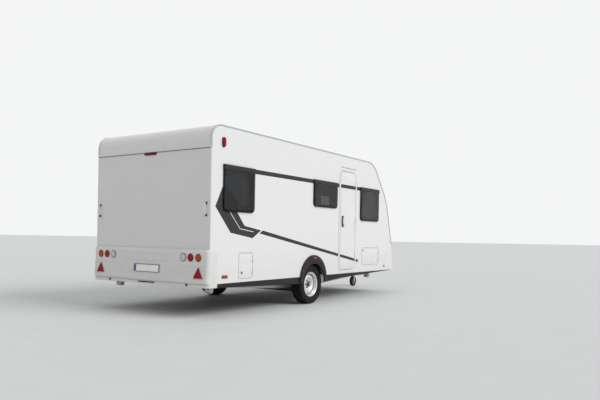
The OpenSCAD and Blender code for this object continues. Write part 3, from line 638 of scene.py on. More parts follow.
hub_black = finish("hub_black", grit, bump=0.0002, Colour=(0.012, 0.012, 0.013), Amount=0.25, Smooth=0.35)
half_block = 3.2
# the barrel is painted dark as shade up to this distance out from the wheel's middle plane
painted_shade_well_y = 0.030
for side in (1, -1):
    name = side_of[side]
    body = f"wheel_{name}"
    casing = Shape().turned(tyre_section(), 120, ring=True, place=about(side))
    fit(casing.make(f"tyre_casing_{name}", tyre_rubber, crease=28), "tyre", f"tyre_{name}", body=body)
    for inward in (0, 1):
        # the inner shoulder's blocks stand half a step on from the outer one's
        place = about(side) @ Matrix.Rotation(math.pi * inward, 4, "X")
        place = place @ Matrix.Rotation(math.radians(half_block * inward), 4, "Z")
        place = place @ Matrix.Translation((0, 0, shoulder_y))
        blocks = grown(ring_tree, f"tread_blocks_{name}_{inward}", tread_block(), tyre_rubber, place,
                       Count=block_count, Radius=tyre_r - tread_depth)
        fit(blocks, "tyre", body=body)
    rim = Shape()
    rim.turned(barrel(), 96, ring=True, place=about(side))
    # painted shade: the barrel's inside behind the disc takes the dark drum finish, standing for the shade
    # seen through the slots
    for number, corners in enumerate(rim.faces):
        if all(side * (rim.verts[c].y - about(side).translation.y) < painted_shade_well_y for c in corners):
            rim.tones[number] = 2
    disc = pressed_disc()
    base = len(rim.verts)
    rim.verts += [about(side) @ v for v in disc.verts]
    for corners in disc.faces:
        rim.face(base + c for c in corners)
    # the hub's rolled collar, and the black cap pressed into it
    rim.turned([(0.0385, 0.006), (0.0385, 0.016), (0.0365, 0.0175), (0.0350, 0.016), (0.0350, 0.006)], 48,
               ring=True, place=about(side))
    rim.tone = 1
    rim.turned([(0.0345, 0.008), (0.0345, 0.036), (0.0325, 0.040), (0.026, 0.042), (0.024, 0.0405),
                (0.0, 0.0405)], 40, place=about(side))
    fit(rim.make(f"steel_rim_{name}", rim_silver, hub_black, drum_iron, crease=30), "rim_silver",
        f"rim_{name}", body=body)
    bolt = Shape()
    bolt.turned([(0.0145, 0), (0.0145, 0.004), (0.0115, 0.0055), (0, 0.0055)], 20)
    bolt.turned([(0.0110, 0.0040), (0.0110, 0.0165), (0.0095, 0.0185), (0, 0.0185)], 6)
    wheel_bolts = grown(ring_tree, f"wheel_bolts_{name}", bolt, hub_black,
                        about(side) @ Matrix.Rotation(math.radians(36), 4, "Z")
                        @ Matrix.Translation((0, 0, 0.0105)), Count=5, Radius=0.056)
    fit(wheel_bolts, "hitch_steel", body=body)

# ---- Floor and wheel boxes ----
# A sandwich floor of ply skins over foam, with a wood-effect vinyl on top. The plastic boxes
# over the wheels are sprayed underneath, so the arch looks dark from outside.
plank, given, result = shader_group("vinyl_planks",
                                    {"Colour": (0.30, 0.19, 0.11, 1), "Dark": (0.16, 0.09, 0.05, 1),
                                     "Underside": (0.05, 0.045, 0.04, 1), "Deck": 0.512})
plank_place = object_place(plank)
plank_long = put(plank, "ShaderNodeMapping", {"Vector": plank_place, "Scale": (1.2, 14.0, 8.0)}).outputs[0]
plank_grain = put(plank, "ShaderNodeTexNoise",
                  {"Vector": plank_long, "Scale": 3.0, "Detail": 8.0, "Distortion": 0.6}).outputs[0]
plank_joint = put(plank, "ShaderNodeTexBrick",
                  {"Vector": plank_place, "Scale": 1.0, "Mortar Size": 0.0015, "Brick Width": 1.2,
                  "Row Height": 0.16, "Color1": (0.9, 0.9, 0.9, 1), "Color2": (1, 1, 1, 1),
                  "Mortar": (0.25, 0.25, 0.25, 1)})
plank_tone = blend_colour(plank, plank_grain, given["Colour"], given["Dark"])
plank_lined = put(plank, "ShaderNodeMix", {0: 1.0, 6: plank_tone, 7: plank_joint.outputs[0]},
                  data_type="RGBA", blend_type="MULTIPLY").outputs[2]
plank_z = put(plank, "ShaderNodeSeparateXYZ", {0: plank_place}).outputs[2]
plank_top = math_node(plank, "GREATER_THAN", plank_z, given["Deck"])
give(plank, result, Colour=blend_colour(plank, plank_top, given["Underside"], plank_lined),
     Roughness=math_node(plank, "SUBTRACT", 0.75, times(plank, plank_top, 0.3)), Height=plank_grain)
floor_finish = finish("floor_ply", plank, bump=0.0003, Deck=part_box("floor_panel")[1].z - 0.002)
cover("floor_panel", floor_finish)
underseal = finish("underseal", grit, bump=0.0012, Colour=(0.025, 0.025, 0.026), Amount=0.5, Smooth=0.65)
cover("wheel_boxes", underseal)

# ---- Cabin panels ----
# Sandwich panels faced with coil-coated aluminium, white and almost smooth. Rain leaves a faint
# film that is heaviest low down. The tail is moulded plastic sheet, a little warmer and duller.
weather, given, result = shader_group("rain_film",
                                      {"Colour": (0.83, 0.83, 0.83, 1), "Film": (0.52, 0.49, 0.43, 1),
                                       "Foot": 0.47, "Reach": 0.6, "Amount": 0.2, "Streaks": 0.05,
                                       "Smooth": 0.25, "Grain": 260.0})
film_place = object_place(weather)
film_z = put(weather, "ShaderNodeSeparateXYZ", {0: film_place}).outputs[2]
film_top = plus(weather, given["Foot"], given["Reach"])
film_rise = put(weather, "ShaderNodeMapRange",
                {"Value": film_z, "From Min": film_top, "From Max": given["Foot"]},
                interpolation_type="SMOOTHSTEP").outputs[0]
film_cloud = noise(weather, film_place, 5.0, 7.0, 0.6)
film_fine = noise(weather, film_place, given["Grain"], 2.0)
film_long = put(weather, "ShaderNodeMapping", {"Vector": film_place, "Scale": (26.0, 26.0, 0.8)})
film_run = over(weather, noise(weather, film_long.outputs[0], 1.0, 3.0), 0.55, 0.8, given["Streaks"])
film_mask = times(weather, times(weather, film_rise, film_cloud), given["Amount"])
film_mask = math_node(weather, "ADD", film_mask, film_run, clamp=True)
give(weather, result, Colour=blend_colour(weather, film_mask, given["Colour"], given["Film"]),
     Roughness=plus(weather, given["Smooth"], times(weather, film_mask, 0.5)), Height=film_fine)

wall_white = finish("wall_paint", weather, {"Coat Weight": 0.25, "Coat Roughness": 0.12}, bump=0.00006,
                    Colour=(0.80, 0.80, 0.80), Amount=0.28, Streaks=0.04)
roof_white = finish("roof_paint", weather, {"Coat Weight": 0.15}, bump=0.0001, Colour=(0.77, 0.77, 0.77),
                    Foot=2.2, Reach=0.6, Amount=0.14, Streaks=0.05, Smooth=0.35)
tail_white = finish("rear_abs", weather, {"Specular IOR Level": 0.4}, bump=0.00012,
                    Colour=(0.745, 0.742, 0.738), Amount=0.3, Streaks=0.06, Smooth=0.4, Grain=700.0)
for panel in ("side_wall_left", "side_wall_right", "front_wall"):
    cover(panel, wall_white)
cover("front_locker", tail_white)
cover("rear_wall", tail_white)

# The roof sheet runs in one piece from the tail's joint over both bends to the nose. It carries
# five rolled ribs, and a moulded edge trim closes each side.
wall_lo, wall_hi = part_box("side_wall_right")
roof_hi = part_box("roof_panel")[1]
# the wall's own face, inside the hinge knuckles that stand on the right one
side_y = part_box("side_wall_left")[1].y
rear_x = wall_lo.x
roof_z = wall_hi.z
rear_bend_r = 0.200
sheet_in = roof_hi.y
sheet_t = 0.033
# the tail sheet's joint with the roof sheet
seam_z = roof_z - 0.315


def body_line(inset, fine=3):
    """The side view's outline over the roof, from the tail's joint to the front foot, as (x, z)."""
    nose_a, brow_a, foot_a = (math.radians(a) for a in (40, 17, 2))
    front_bend_r, brow_r, foot_r, nose_run, foot_rise = 0.51, 1.10, 1.50, 0.48, 0.144
    x_front = wall_hi.x

    def out(a):
        return Vector((math.cos(a), math.sin(a)))

    def onward(a):
        return Vector((math.sin(a), -math.cos(a)))

    nose_end = Vector((0, roof_z - front_bend_r)) + front_bend_r * out(nose_a)
    brow_c = nose_end + nose_run * onward(nose_a) - brow_r * out(nose_a)
    brow_end = brow_c + brow_r * out(brow_a)
    foot_top = wall_lo.z + foot_rise + foot_r * (math.sin(brow_a) - math.sin(foot_a))
    chin = (brow_end.y - foot_top) / math.cos(brow_a)
    foot_c = brow_end + chin * onward(brow_a) - foot_r * out(brow_a)
    nose_x = x_front - (foot_c.x + foot_r * math.cos(foot_a) + foot_rise * math.tan(foot_a))
    points = [(rear_x + inset, seam_z)]
    arcs = [(Vector((rear_x + rear_bend_r, roof_z - rear_bend_r)), rear_bend_r, math.pi, math.pi / 2),
            (Vector((nose_x, roof_z - front_bend_r)), front_bend_r, math.pi / 2, nose_a),
            (Vector((nose_x + brow_c.x, brow_c.y)), brow_r, nose_a, brow_a),
            (Vector((nose_x + foot_c.x, foot_c.y)), foot_r, brow_a, foot_a)]
    for centre, r, a0, a1 in arcs:
        steps = max(2, round(math.degrees(abs(a1 - a0)) / fine))
        for i in range(steps + 1):
            a = a0 + (a1 - a0) * i / steps
            points.append(tuple(centre + (r - inset) * out(a)))
    points.append((x_front - inset / math.cos(foot_a), wall_lo.z))
    return points, {"nose_x": nose_x, "brow": (nose_x + brow_end.x, brow_end.y), "chin": chin,
                    "foot_top": foot_top}


outer_line, bend_at = body_line(0)
inner_line, _ = body_line(sheet_t)
flat_z = roof_z - 1e-6
nose_at = [i for i, p in enumerate(outer_line) if p[1] > flat_z][-1]
roof_ribs = (-0.8, -0.4, 0, 0.4, 0.8)


def roof_lift(y, x):
    """Height of the rolled ribs over the flat of the sheet."""
    after_tail = min(1, max(0, (x - rear_x - 0.24) / 0.05))
    before_nose = min(1, max(0, (bend_at["nose_x"] - 0.08 - x) / 0.05))
    along = after_tail * before_nose
    near = min(abs(y - c) for c in roof_ribs)
    return -0.0025 + 0.0022 * along * max(0, math.cos(min(near / 0.03, 1) * math.pi / 2)) ** 2


roof_sheet = Shape()
rib_ys = sorted({round(c + o, 4) for c in roof_ribs
                 for o in (-0.03, -0.018, -0.009, 0, 0.009, 0.018, 0.03)} | {-sheet_in, sheet_in})
roof_line = []
for (x0, z0), (x1, z1) in zip(outer_line[:nose_at + 1], outer_line[1:nose_at + 1]):
    roof_line.append((x0, z0))
    if x1 - x0 > 1:
        for extra in (0.045, 0.09):
            roof_line.append((x0 + extra, z0))
        for extra in (0.15, 0.09):
            roof_line.append((x1 - extra, z1))
roof_line.append(outer_line[nose_at])
loops = []
for x, z in roof_line:
    flat = z > flat_z
    inside = min(inner_line, key=lambda p: (p[0] - x) ** 2 + (p[1] - z) ** 2)
    under_x, under_z = (x, roof_z - sheet_t) if flat else inside
    loops.append([(x, y, z + (roof_lift(y, x) if flat else 0)) for y in rib_ys]
                 + [(under_x, y, under_z) for y in reversed(rib_ys)])
fit(roof_sheet.loft(loops).make("roof_sheet", roof_white, crease=25), "wall_paint", "roof_panel")

# ---- Awning rails ----
# Anodised aluminium extrusions over the joint of wall and roof: a flat cover with the open bead
# tube along its edge, fixed by countersunk screws under a vinyl insert.
brushed, given, result = shader_group("brushed_metal",
                                      {"Colour": (0.6, 0.6, 0.61, 1), "Smooth": 0.35, "Drift": 0.15})
brush_place = object_place(brushed)
brush_long = put(brushed, "ShaderNodeMapping", {"Vector": brush_place, "Scale": (3.0, 300.0, 300.0)})
brush_noise = noise(brushed, brush_long.outputs[0], 1.0, 3.0)
brush_cloud = noise(brushed, brush_place, 4.0, 5.0)
brush_dark = darker(brushed, given["Colour"], 0.7)
brush_tone = blend_colour(brushed, times(brushed, brush_cloud, given["Drift"]), given["Colour"],
                          brush_dark)
give(brushed, result, Colour=brush_tone,
     Roughness=plus(brushed, given["Smooth"], times(brushed, brush_noise, 0.15)), Height=brush_noise)
anodised = finish("anodised", brushed, {"Metallic": 0.7}, bump=0.00004, Colour=(0.55, 0.56, 0.57),
                  Drift=0.5)

# Screws, rivets or beads set along a path drawn as a line of points
path_tree, given, result = growth("items_on_a_path", [("Path", "Object", None), ("Spacing", "Float", 0.15)])
path_line = put(path_tree, "GeometryNodeObjectInfo", {0: given["Path"]})
path_curve = put(path_tree, "GeometryNodeMeshToCurve", {0: path_line.outputs["Geometry"]})
path_points = put(path_tree, "GeometryNodeCurveToPoints",
                  {"Curve": path_curve.outputs[0], "Length": given["Spacing"]}, mode="LENGTH")
path_all = put(path_tree, "GeometryNodeInstanceOnPoints", {
    "Points": path_points.outputs["Points"], "Instance": given["Item"],
    "Rotation": path_points.outputs["Rotation"]})
end_growth(path_tree, given, result, path_all.outputs[0])


def strung(name, points, item, made, spacing):
    """Items along a line of points: their own z runs along the line."""
    mesh = bpy.data.meshes.new(name + "_path")
    mesh.from_pydata([tuple(p) for p in points], [(i, i + 1) for i in range(len(points) - 1)], [])
    line = bpy.data.objects.new(name + "_path", mesh)
    scene.collection.objects.link(line)
    piece = grown(path_tree, name, item, made, Path=line, Spacing=spacing)
    bpy.data.objects.remove(line)
    return piece


rails = Shape()
rail_foot_z = 1.0
line_end = len(outer_line) - 1
for side in (1, -1):
    # the cover's section, drawn as (out of the wall, over the roof's edge)
    section = [(-0.030, 0.0005), (-0.030, 0.0042), (0.0035, 0.0058), (0.0058, 0.0035), (0.0058, -0.0022),
               (0.0085, -0.0045), (0.0088, -0.0085), (0.0062, -0.0118), (0.0028, -0.0105),
               (0.0012, -0.0070), (0.0030, -0.0045), (0.0004, -0.0020), (0.0004, 0.0005)]
    loops = []
    for i, (x, z) in enumerate(outer_line):
        if z < rail_foot_z:
            break
        before, after = Vector(outer_line[max(i - 1, 0)]), Vector(outer_line[min(i + 1, line_end)])
        run = (after - before).normalized()
        normal = Vector((-run.y, run.x))
        loops.append([(x + normal.x * o, side * (side_y + u), z + normal.y * o) for u, o in section])
    rails.loft(loops)
fit(rails.make("awning_rail", anodised, crease=30), "anodised", "awning_rails")

# ---- Tail joint ----
# A drip gutter of white plastic covers the joint between the tail sheet and the roof, and white trims
# run down each corner. A thin dark strip under the gutter is painted shade, standing for its shadow line.
trim_white = finish("white_trim", weather, bump=0.00008, Colour=(0.75, 0.75, 0.75), Foot=1.0, Amount=0.1,
                    Smooth=0.32)
gutter = Shape()
gutter_half = side_y - 0.004
gutter_section = [(0.0005, 0.030), (-0.0045, 0.028), (-0.0065, 0.020), (-0.0065, 0.004), (-0.014, 0.001),
                  (-0.0155, -0.006), (-0.0135, -0.0065), (-0.0125, -0.001), (-0.0045, -0.002),
                  (-0.0040, -0.012), (0.0005, -0.012)]
gutter.loft([[(rear_x + u, y, seam_z + v) for u, v in gutter_section] for y in (-gutter_half, gutter_half)])
# corner trims run down the tail from the gutter to the moulding
corner_section = [(-0.0022, -0.034), (-0.0036, -0.028), (-0.0042, -0.008), (-0.0034, 0.0002),
                  (-0.0010, 0.0024), (0.020, 0.0024), (0.020, 0.0002), (0.0002, 0.0002), (0.0002, -0.034)]
moulding_lo, moulding_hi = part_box("rear_bumper")
for side in (1, -1):
    gutter.loft([[(rear_x + u, side * (side_y + v), z) for u, v in corner_section]
                 for z in (moulding_hi.z - 0.004, seam_z - 0.008)])
# painted shade: a thin dark strip under the gutter's lip stands for the shadow line it casts
gutter.tone = 1
gutter_shade_section = [(0.0005, -0.0115), (-0.0062, -0.0115), (-0.0066, -0.0185), (0.0005, -0.0195)]
gutter.loft([[(rear_x + u, y, seam_z + v) for u, v in gutter_shade_section]
             for y in (-gutter_half, gutter_half)])
gutter_shade_finish = finish("painted_gutter_shade", weather, bump=0.0001, Colour=(0.16, 0.16, 0.165), Foot=1.0, Amount=0.1,
                 Smooth=0.5)
fit(gutter.make("tail_trims", trim_white, gutter_shade_finish, crease=30), "white_trim")

# ---- Stripes ----
# Graphite vinyl film cut to shape and laid on the finished walls, with a white pinstripe in
# the broad arrow behind the rear window. The runs stop at the door's frame and go on the leaf.
vinyl, given, result = shader_group("vinyl_film",
                                    {"Colour": (0.06, 0.06, 0.063, 1), "Haze": 0.12, "Smooth": 0.32})
vinyl_place = object_place(vinyl)
vinyl_cloud = noise(vinyl, vinyl_place, 9.0, 6.0)
vinyl_peel = put(vinyl, "ShaderNodeTexNoise", {"Vector": vinyl_place, "Scale": 500.0}).outputs[0]
vinyl_tone = blend_colour(vinyl, times(vinyl, vinyl_cloud, given["Haze"]), given["Colour"],
                          (0.2, 0.2, 0.2, 1))
give(vinyl, result, Colour=vinyl_tone,
     Roughness=plus(vinyl, given["Smooth"], times(vinyl, vinyl_cloud, 0.2)), Height=vinyl_peel)
graphite = finish("graphite_vinyl", vinyl, {"Specular IOR Level": 0.12}, bump=0.00002,
                  Colour=(0.046, 0.046, 0.047), Haze=0.012, Smooth=0.45)
pin_white = finish("white_vinyl", vinyl, bump=0.00002, Colour=(0.8, 0.8, 0.8), Haze=0.05)

door_lo, door_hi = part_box("door_leaf")
# the leaf's own hinges reach past its front edge, so its width is taken from the handle's side
door_x0 = door_lo.x
door_x1 = door_x0 + 0.55
frame_x0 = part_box("door_frame")[0].x
frame_x1 = door_x1 + (door_x0 - frame_x0)


def laid_film(shape, outline, side, depth, film_t=0.00035):
    """One cut piece of film: outline points are (distance from the tail, height)."""
    loops = [[(rear_x + x, side * (side_y + d), z) for x, z in outline] for d in (depth, depth + film_t)]
    shape.loft(loops)


def stripe(x0, x1, top, drop):
    """A straight run of stripe from x0 to x1. top gives its upper edge at any x."""
    return [(x0, top(x0) - drop), (x1, top(x1) - drop), (x1, top(x1)), (x0, top(x0))]


lower_x0, lower_z0, lower_x1, lower_z1 = 1.142, 1.207, 4.150, 0.708
upper_drop, lower_drop = 0.065, 0.050


def upper_top(x):
    """The upper stripe is level, so it is as high at every x."""
    return roof_z - 0.525


def lower_top(x):
    return lower_z0 + (x - lower_x0) * (lower_z1 - lower_z0) / (lower_x1 - lower_x0)


tail_to_frame, tail_to_after = frame_x0 - rear_x - 0.001, frame_x1 - rear_x + 0.001
leaf_from, leaf_to = door_x0 - rear_x + 0.002, door_x1 - rear_x - 0.002
arrow = [(0.232, 1.785), (0.091, 1.511), (0.413, 1.162), (0.903, 1.091), (1.101, 1.208), (0.715, 1.266),
         (0.555, 1.444), (0.555, 1.60), (0.30, 1.785)]
pin_line = [(0.401, 1.441), (0.616, 1.221), (0.923, 1.184)]
pin_half = 0.005
# films lie just off the wall, the pinstripe on top of the arrow
film_at, pin_at = 0.0003, 0.0007
for side in (1, -1):
    films = Shape()
    # the door is in the right wall only
    gap = [(tail_to_frame, tail_to_after)] if side < 0 else []
    upper = [(0.916, 2.519), (3.304, 4.188)]
    lower = [(lower_x0, lower_x1)]
    for runs, top, drop in ((upper, upper_top, upper_drop), (lower, lower_top, lower_drop)):
        for x0, x1 in runs:
            cuts = [(x0, x1)]
            for g0, g1 in gap:
                cuts = [c for a, b in cuts for c in ((a, min(b, g0)), (max(a, g1), b))
                        if c[1] - c[0] > 0.005]
            for a, b in cuts:
                outline = stripe(a, b, top, drop)
                # the lower stripe's two ends are cut to a slant
                if top is lower_top and a == lower_x0:
                    outline[0] = (1.066, 1.162)
                if top is lower_top and b == lower_x1:
                    outline[1] = (4.132, 0.663)
                laid_film(films, outline, side, film_at)
    laid_film(films, arrow, side, film_at)
    films.tone = 1
    a, b, c = (Vector(p) for p in pin_line)
    n0, n1 = (Vector((-(q - p).y, (q - p).x)).normalized() * pin_half for p, q in ((a, b), (b, c)))
    corner = (n0 + n1).normalized() * pin_half / math.cos(n0.angle(n1) / 2)
    laid_film(films, [a - n0, b - corner, c - n1, c + n1, b + corner, a + n0], side, pin_at)
    fit(films.make(f"stripes_{side_of[side]}", graphite, pin_white), "black_plastic")
leaf_films = Shape()
leaf_proud = 0.006
for top, drop in ((upper_top, upper_drop), (lower_top, lower_drop)):
    laid_film(leaf_films, stripe(leaf_from, leaf_to, top, drop), -1, leaf_proud + film_at)
fit(leaf_films.make("stripes_door", graphite), "black_plastic", body="door")

# ---- Tail moulding ----
# One deep vacuum-formed panel wraps the foot of the tail and both corners. It is drawn in over
# a soft crease between the lamps, over a lower one at the plate, and rolls under at the foot.
wrap = 0.144
corner_r = 0.055
foot_z = moulding_lo.z
side_proud = 0.0118
# half the width of a crease's groove
seam_w = 0.006
# how far the panel stands off the tail at each height over its foot
TAIL_PROUD = [(0.0, 0.040), (0.004, 0.0438), (0.040, 0.0438), (0.044, 0.033), (0.053, 0.033),
              (0.056, 0.056), (0.066, 0.0595), (0.092, 0.0598), (0.115, 0.0558), (0.300, 0.0445),
              (0.318, 0.0438), (0.466, 0.0438), (0.480, 0.0415), (0.498, 0.034), (0.508, 0.026),
              (0.512, 0.018)]


def smooth(t):
    t = min(max(t, 0), 1)
    return t * t * (3 - 2 * t)


def proud(h):
    for (h0, p0), (h1, p1) in zip(TAIL_PROUD, TAIL_PROUD[1:]):
        if h <= h1:
            return p0 + (p1 - p0) * (h - h0) / (h1 - h0)
    return TAIL_PROUD[-1][1]


def drawn_in(y, h):
    """Depth of the two creased fields at a point of the tail face."""
    a = abs(y)
    # the upper crease runs level between the lamps and turns up beside them
    upper = 0.432 + 0.062 * smooth((a - 0.48) / 0.15)
    field = smooth((upper - h) / 0.009) * smooth((h - 0.25) / 0.05) * smooth((0.67 - a) / 0.04)
    # the lower one is level under the lamps; an S falls past the plate from its top edge
    inner, outer, across = 0.330 - 0.130 * smooth((a - 0.37) / 0.22), 0.282, smooth((a - 0.58) / 0.07)
    step = (1 - across) * smooth((inner - h) / 0.010) + across * smooth((outer - h) / 0.010)
    step *= smooth((h - 0.100) / 0.02)
    seam = ((1 - across) * math.exp(-((h - inner) / seam_w) ** 2)
            + across * math.exp(-((h - outer) / seam_w) ** 2))
    seam += math.exp(-((h - upper) / seam_w) ** 2) * smooth((0.67 - a) / 0.04)
    return 0.0035 * field * (1 - step) + 0.0070 * step + 0.0075 * seam


def tail_path(h, inner):
    """Plan points round the tail at one height, from the left wrap's end to the right one's."""
    reach = proud(h) if not inner else 0.0003
    out_y = side_y + (side_proud if not inner else 0.0004)
    r = corner_r if not inner else 0.004
    points = [(rear_x + x, out_y) for x in (wrap, wrap - 0.006, 0.10, 0.05,
                                            r - reach if r > reach else 0.004)]
    for i in range(1, 9):
        t = math.pi / 2 * i / 9
        points.append((rear_x - reach + r - r * math.sin(t), out_y - r + r * math.cos(t)))
    flat = out_y - r
    count = 150
    face = [(rear_x - reach, flat - 2 * flat * i / count) for i in range(count + 1)]
    return points + face + [(x, -y) for x, y in reversed(points)]


moulding = Shape()
heights = sorted({round(h, 4) for h, _ in TAIL_PROUD} | {round(0.098 + 0.003 * i, 4) for i in range(133)})
rows = []
for h in heights:
    row = []
    for x, y in tail_path(h, False):
        face = abs(y) < side_y + side_proud - corner_r + 1e-6
        dip = drawn_in(y, h) if face else 0
        # the wraps lean in at the foot and under the top edge
        tuck = 0 if face else 0.004 * smooth((0.012 - h) / 0.012) + 0.006 * smooth((h - 0.496) / 0.016)
        row.append((x + dip, y - math.copysign(tuck, y), foot_z + h))
    rows.append(row)
inner = [[(x, y, foot_z + h) for x, y in tail_path(h, True)] for h in (heights[-1], heights[0])]
section_rows = [[row[i] for row in rows + inner] for i in range(len(rows[0]))]
moulding.loft(section_rows)
fit(moulding.make("tail_moulding", tail_white, crease=30), "rear_abs", "rear_bumper")
# two drain holes' black grommets in the lower lip
rubber_black = finish("black_rubber", rubber, {"Specular IOR Level": 0.4}, bump=0.00015,
                      Colour=(0.016, 0.016, 0.017), Amount=0.2)
grommets = Shape()
for side in (1, -1):
    grommets.turned([(0.019, 0.0), (0.019, 0.002), (0.0165, 0.0035), (0.0130, 0.002), (0.0122, 0.0006),
                     (0, 0.0006)], 24,
                    place=facing((rear_x - 0.0436, side * 0.788, foot_z + 0.027), (-1, 0, 0)))
fit(grommets.make("lip_grommets", rubber_black), "black_rubber")

# ---- Tail lamps ----
# Round screw-on lamps: a bright rim ring and a domed lens moulded with rings that spread the
# light. A slim brake lamp sits under the gutter, and a red reflex strip in the lower lip.
lens, given, result = shader_group("lamp_lens",
                                   {"Colour": (0.8, 0.1, 0.02, 1), "Deep": 0.55, "Prism": 420.0})
lens_place = object_place(lens)
lens_cells = put(lens, "ShaderNodeTexVoronoi",
                 {"Vector": lens_place, "Scale": given["Prism"], "Randomness": 0.15})
lens_dark = darker(lens, given["Colour"], given["Deep"])
lens_facet = over(lens, lens_cells.outputs["Distance"], 0.1, 0.6)
give(lens, result, Colour=blend_colour(lens, lens_facet, given["Colour"], lens_dark),
     Roughness=plus(lens, 0.12, times(lens, lens_facet, 0.1)), Height=lens_cells.outputs["Distance"])
shiny = {"Coat Weight": 0.12, "Coat Roughness": 0.05, "Specular IOR Level": 0.12}
amber_lens = finish("amber_lens", lens, shiny, bump=0.0004, Colour=(0.58, 0.10, 0.006))
red_lens = finish("red_lens", lens, shiny, bump=0.0004, Colour=(0.42, 0.006, 0.020))
clear_lens = finish("clear_lens", lens, {**shiny, "Coat Weight": 0.4}, bump=0.0006,
                    Colour=(0.88, 0.89, 0.90), Deep=0.45, Prism=160.0)


def islands(node):
    """The boxes of a node's separate solids, as (lowest, highest) corners, in order of x then y."""
    work = bmesh.new()
    work.from_mesh(node_of[node].data)
    bmesh.ops.remove_doubles(work, verts=work.verts, dist=1e-5)
    left, boxes = set(work.verts), []
    while left:
        group, edge_of = set(), [left.pop()]
        while edge_of:
            v = edge_of.pop()
            group.add(v)
            for e in v.link_edges:
                other = e.other_vert(v)
                if other in left:
                    left.discard(other)
                    edge_of.append(other)
        boxes.append((Vector([min(v.co[i] for v in group) for i in range(3)]),
                      Vector([max(v.co[i] for v in group) for i in range(3)])))
    work.free()
    return sorted(boxes, key=lambda b: (round(b[0].x, 3), round(b[0].y, 3), b[0].z))


ring_grey = finish("lamp_ring", brushed, {"Metallic": 0.9}, bump=0.00003, Colour=(0.62, 0.62, 0.63),
                   Smooth=0.22)


def round_lamp(shape, low, high, rim=0.95):
    """One lamp from its node's box: tone 0 is the lens and tone 1 the ring. rim is the lens's
    share of the radius."""
    r = (high.z - low.z) / 2
    place = facing((high.x, (low.y + high.y) / 2, (low.z + high.z) / 2), (-1, 0, 0))
    deep = high.x - low.x
    shape.tone = 1
    shape.turned([(r, -0.004), (r, deep * 0.45), (r * 0.98, deep * 0.6), (r * rim, deep * 0.5),
                  (r * rim, -0.004)], 48, ring=True, place=place)
    shape.tone = 0
    dome = [(r * (rim - 0.005), -0.004), (r * (rim - 0.005), deep * 0.62)]
    rings = 7
    for i in range(rings):
        a, b = rim - 0.04 - 0.12 * i, rim - 0.10 - 0.12 * i
        rise = deep * (1 - 0.25 * a * a)
        dome += [(r * a, rise - 0.0011), (r * b, rise)]
    shape.turned(dome + [(0, deep)], 48, place=place)


ring_dark = finish("lamp_bezel", brushed, {"Metallic": 0.5}, bump=0.00003, Colour=(0.10, 0.10, 0.11),
                   Smooth=0.3)
for node, tint, bezel, rim, slot in (("indicator_lamps", amber_lens, ring_grey, 0.95, "amber_lens"),
                                     ("reversing_lamps", clear_lens, ring_dark, 0.88, "clear_lens")):
    lamps = Shape()
    for low, high in islands(node):
        round_lamp(lamps, low, high, rim)
    fit(lamps.make(node + "_shape", tint, bezel, crease=30), slot, node)
lamps = Shape()
for low, high in islands("tail_lamps"):
    if high.y - low.y < 0.15:
        round_lamp(lamps, low, high)
    else:
        mid, size = (low + high) / 2, high - low
        deep = size.x
        lamps.tone = 2
        lamps.plate(size.y, size.z, size.z * 0.45,
                    [(0.0, -0.001), (0.0, deep * 0.7), (0.0015, deep * 0.92), (0.005, deep)],
                    facing((high.x, mid.y, mid.z), (-1, 0, 0)))
dark_red_lens = finish("dark_red_lens", lens, shiny, bump=0.0004, Colour=(0.22, 0.006, 0.012))
fit(lamps.make("tail_lamps_shape", red_lens, ring_grey, dark_red_lens, crease=30), "red_lens", "tail_lamps")

# ---- Warning triangles and number plate ----
# The triangles are moulded reflectors in a raised rim. The plate is blank: a pressed white
# sheet with a blue end band, held in a black frame.
reflex, given, result = shader_group("reflex_cells", {"Colour": (0.55, 0.02, 0.02, 1), "Cell": 260.0})
reflex_place = object_place(reflex)
reflex_cells = put(reflex, "ShaderNodeTexVoronoi",
                   {"Vector": reflex_place, "Scale": given["Cell"], "Randomness": 0.0})
reflex_tone = put(reflex, "ShaderNodeSeparateColor", {0: reflex_cells.outputs["Color"]}).outputs[1]
reflex_dark = darker(reflex, given["Colour"], 0.35)
give(reflex, result, Colour=blend_colour(reflex, reflex_tone, given["Colour"], reflex_dark),
     Roughness=plus(reflex, 0.12, times(reflex, reflex_tone, 0.2)), Height=reflex_cells.outputs["Distance"])
red_reflex = finish("red_reflex", reflex, shiny, bump=0.0004, Colour=(0.44, 0.008, 0.016))
red_rim = finish("red_rim", lens, shiny, Colour=(0.30, 0.006, 0.012), Deep=0.9)
plate_white = finish("plate_white", vinyl, bump=0.00003, Colour=(0.92, 0.92, 0.91), Haze=0.08)
plate_blue = finish("plate_blue", vinyl, bump=0.00003, Colour=(0.015, 0.06, 0.30), Haze=0.05)
black_plastic = finish("black_plastic", grit, {"Specular IOR Level": 0.45}, bump=0.0002,
                       Colour=(0.02, 0.02, 0.021), Amount=0.15, Smooth=0.42)
face_lean = math.atan((0.056 - 0.044) / 0.195)
face_out = Vector((-math.cos(face_lean), 0, math.sin(face_lean)))
face_up = Vector((math.sin(face_lean), 0, math.cos(face_lean)))


def rounded_corners(corners, r, steps=4):
    """A polygon's outline with its corners rounded."""
    points = []
    n = len(corners)
    for i in range(n):
        a, b, c = (Vector(corners[(i + k) % n]) for k in (-1, 0, 1))
        to_a, to_c = (a - b).normalized(), (c - b).normalized()
        half = to_a.angle(to_c) / 2
        cut = r / math.tan(half)
        centre = b + (to_a + to_c).normalized() * r / math.sin(half)
        p, q = b + to_a * cut - centre, b + to_c * cut - centre
        turn = p.angle(q)
        sign = 1 if p.cross(q) > 0 else -1
        for k in range(steps + 1):
            t = sign * turn * k / steps
            points.append(centre + Vector((p.x * math.cos(t) - p.y * math.sin(t),
                                           p.x * math.sin(t) + p.y * math.cos(t))))
    return points


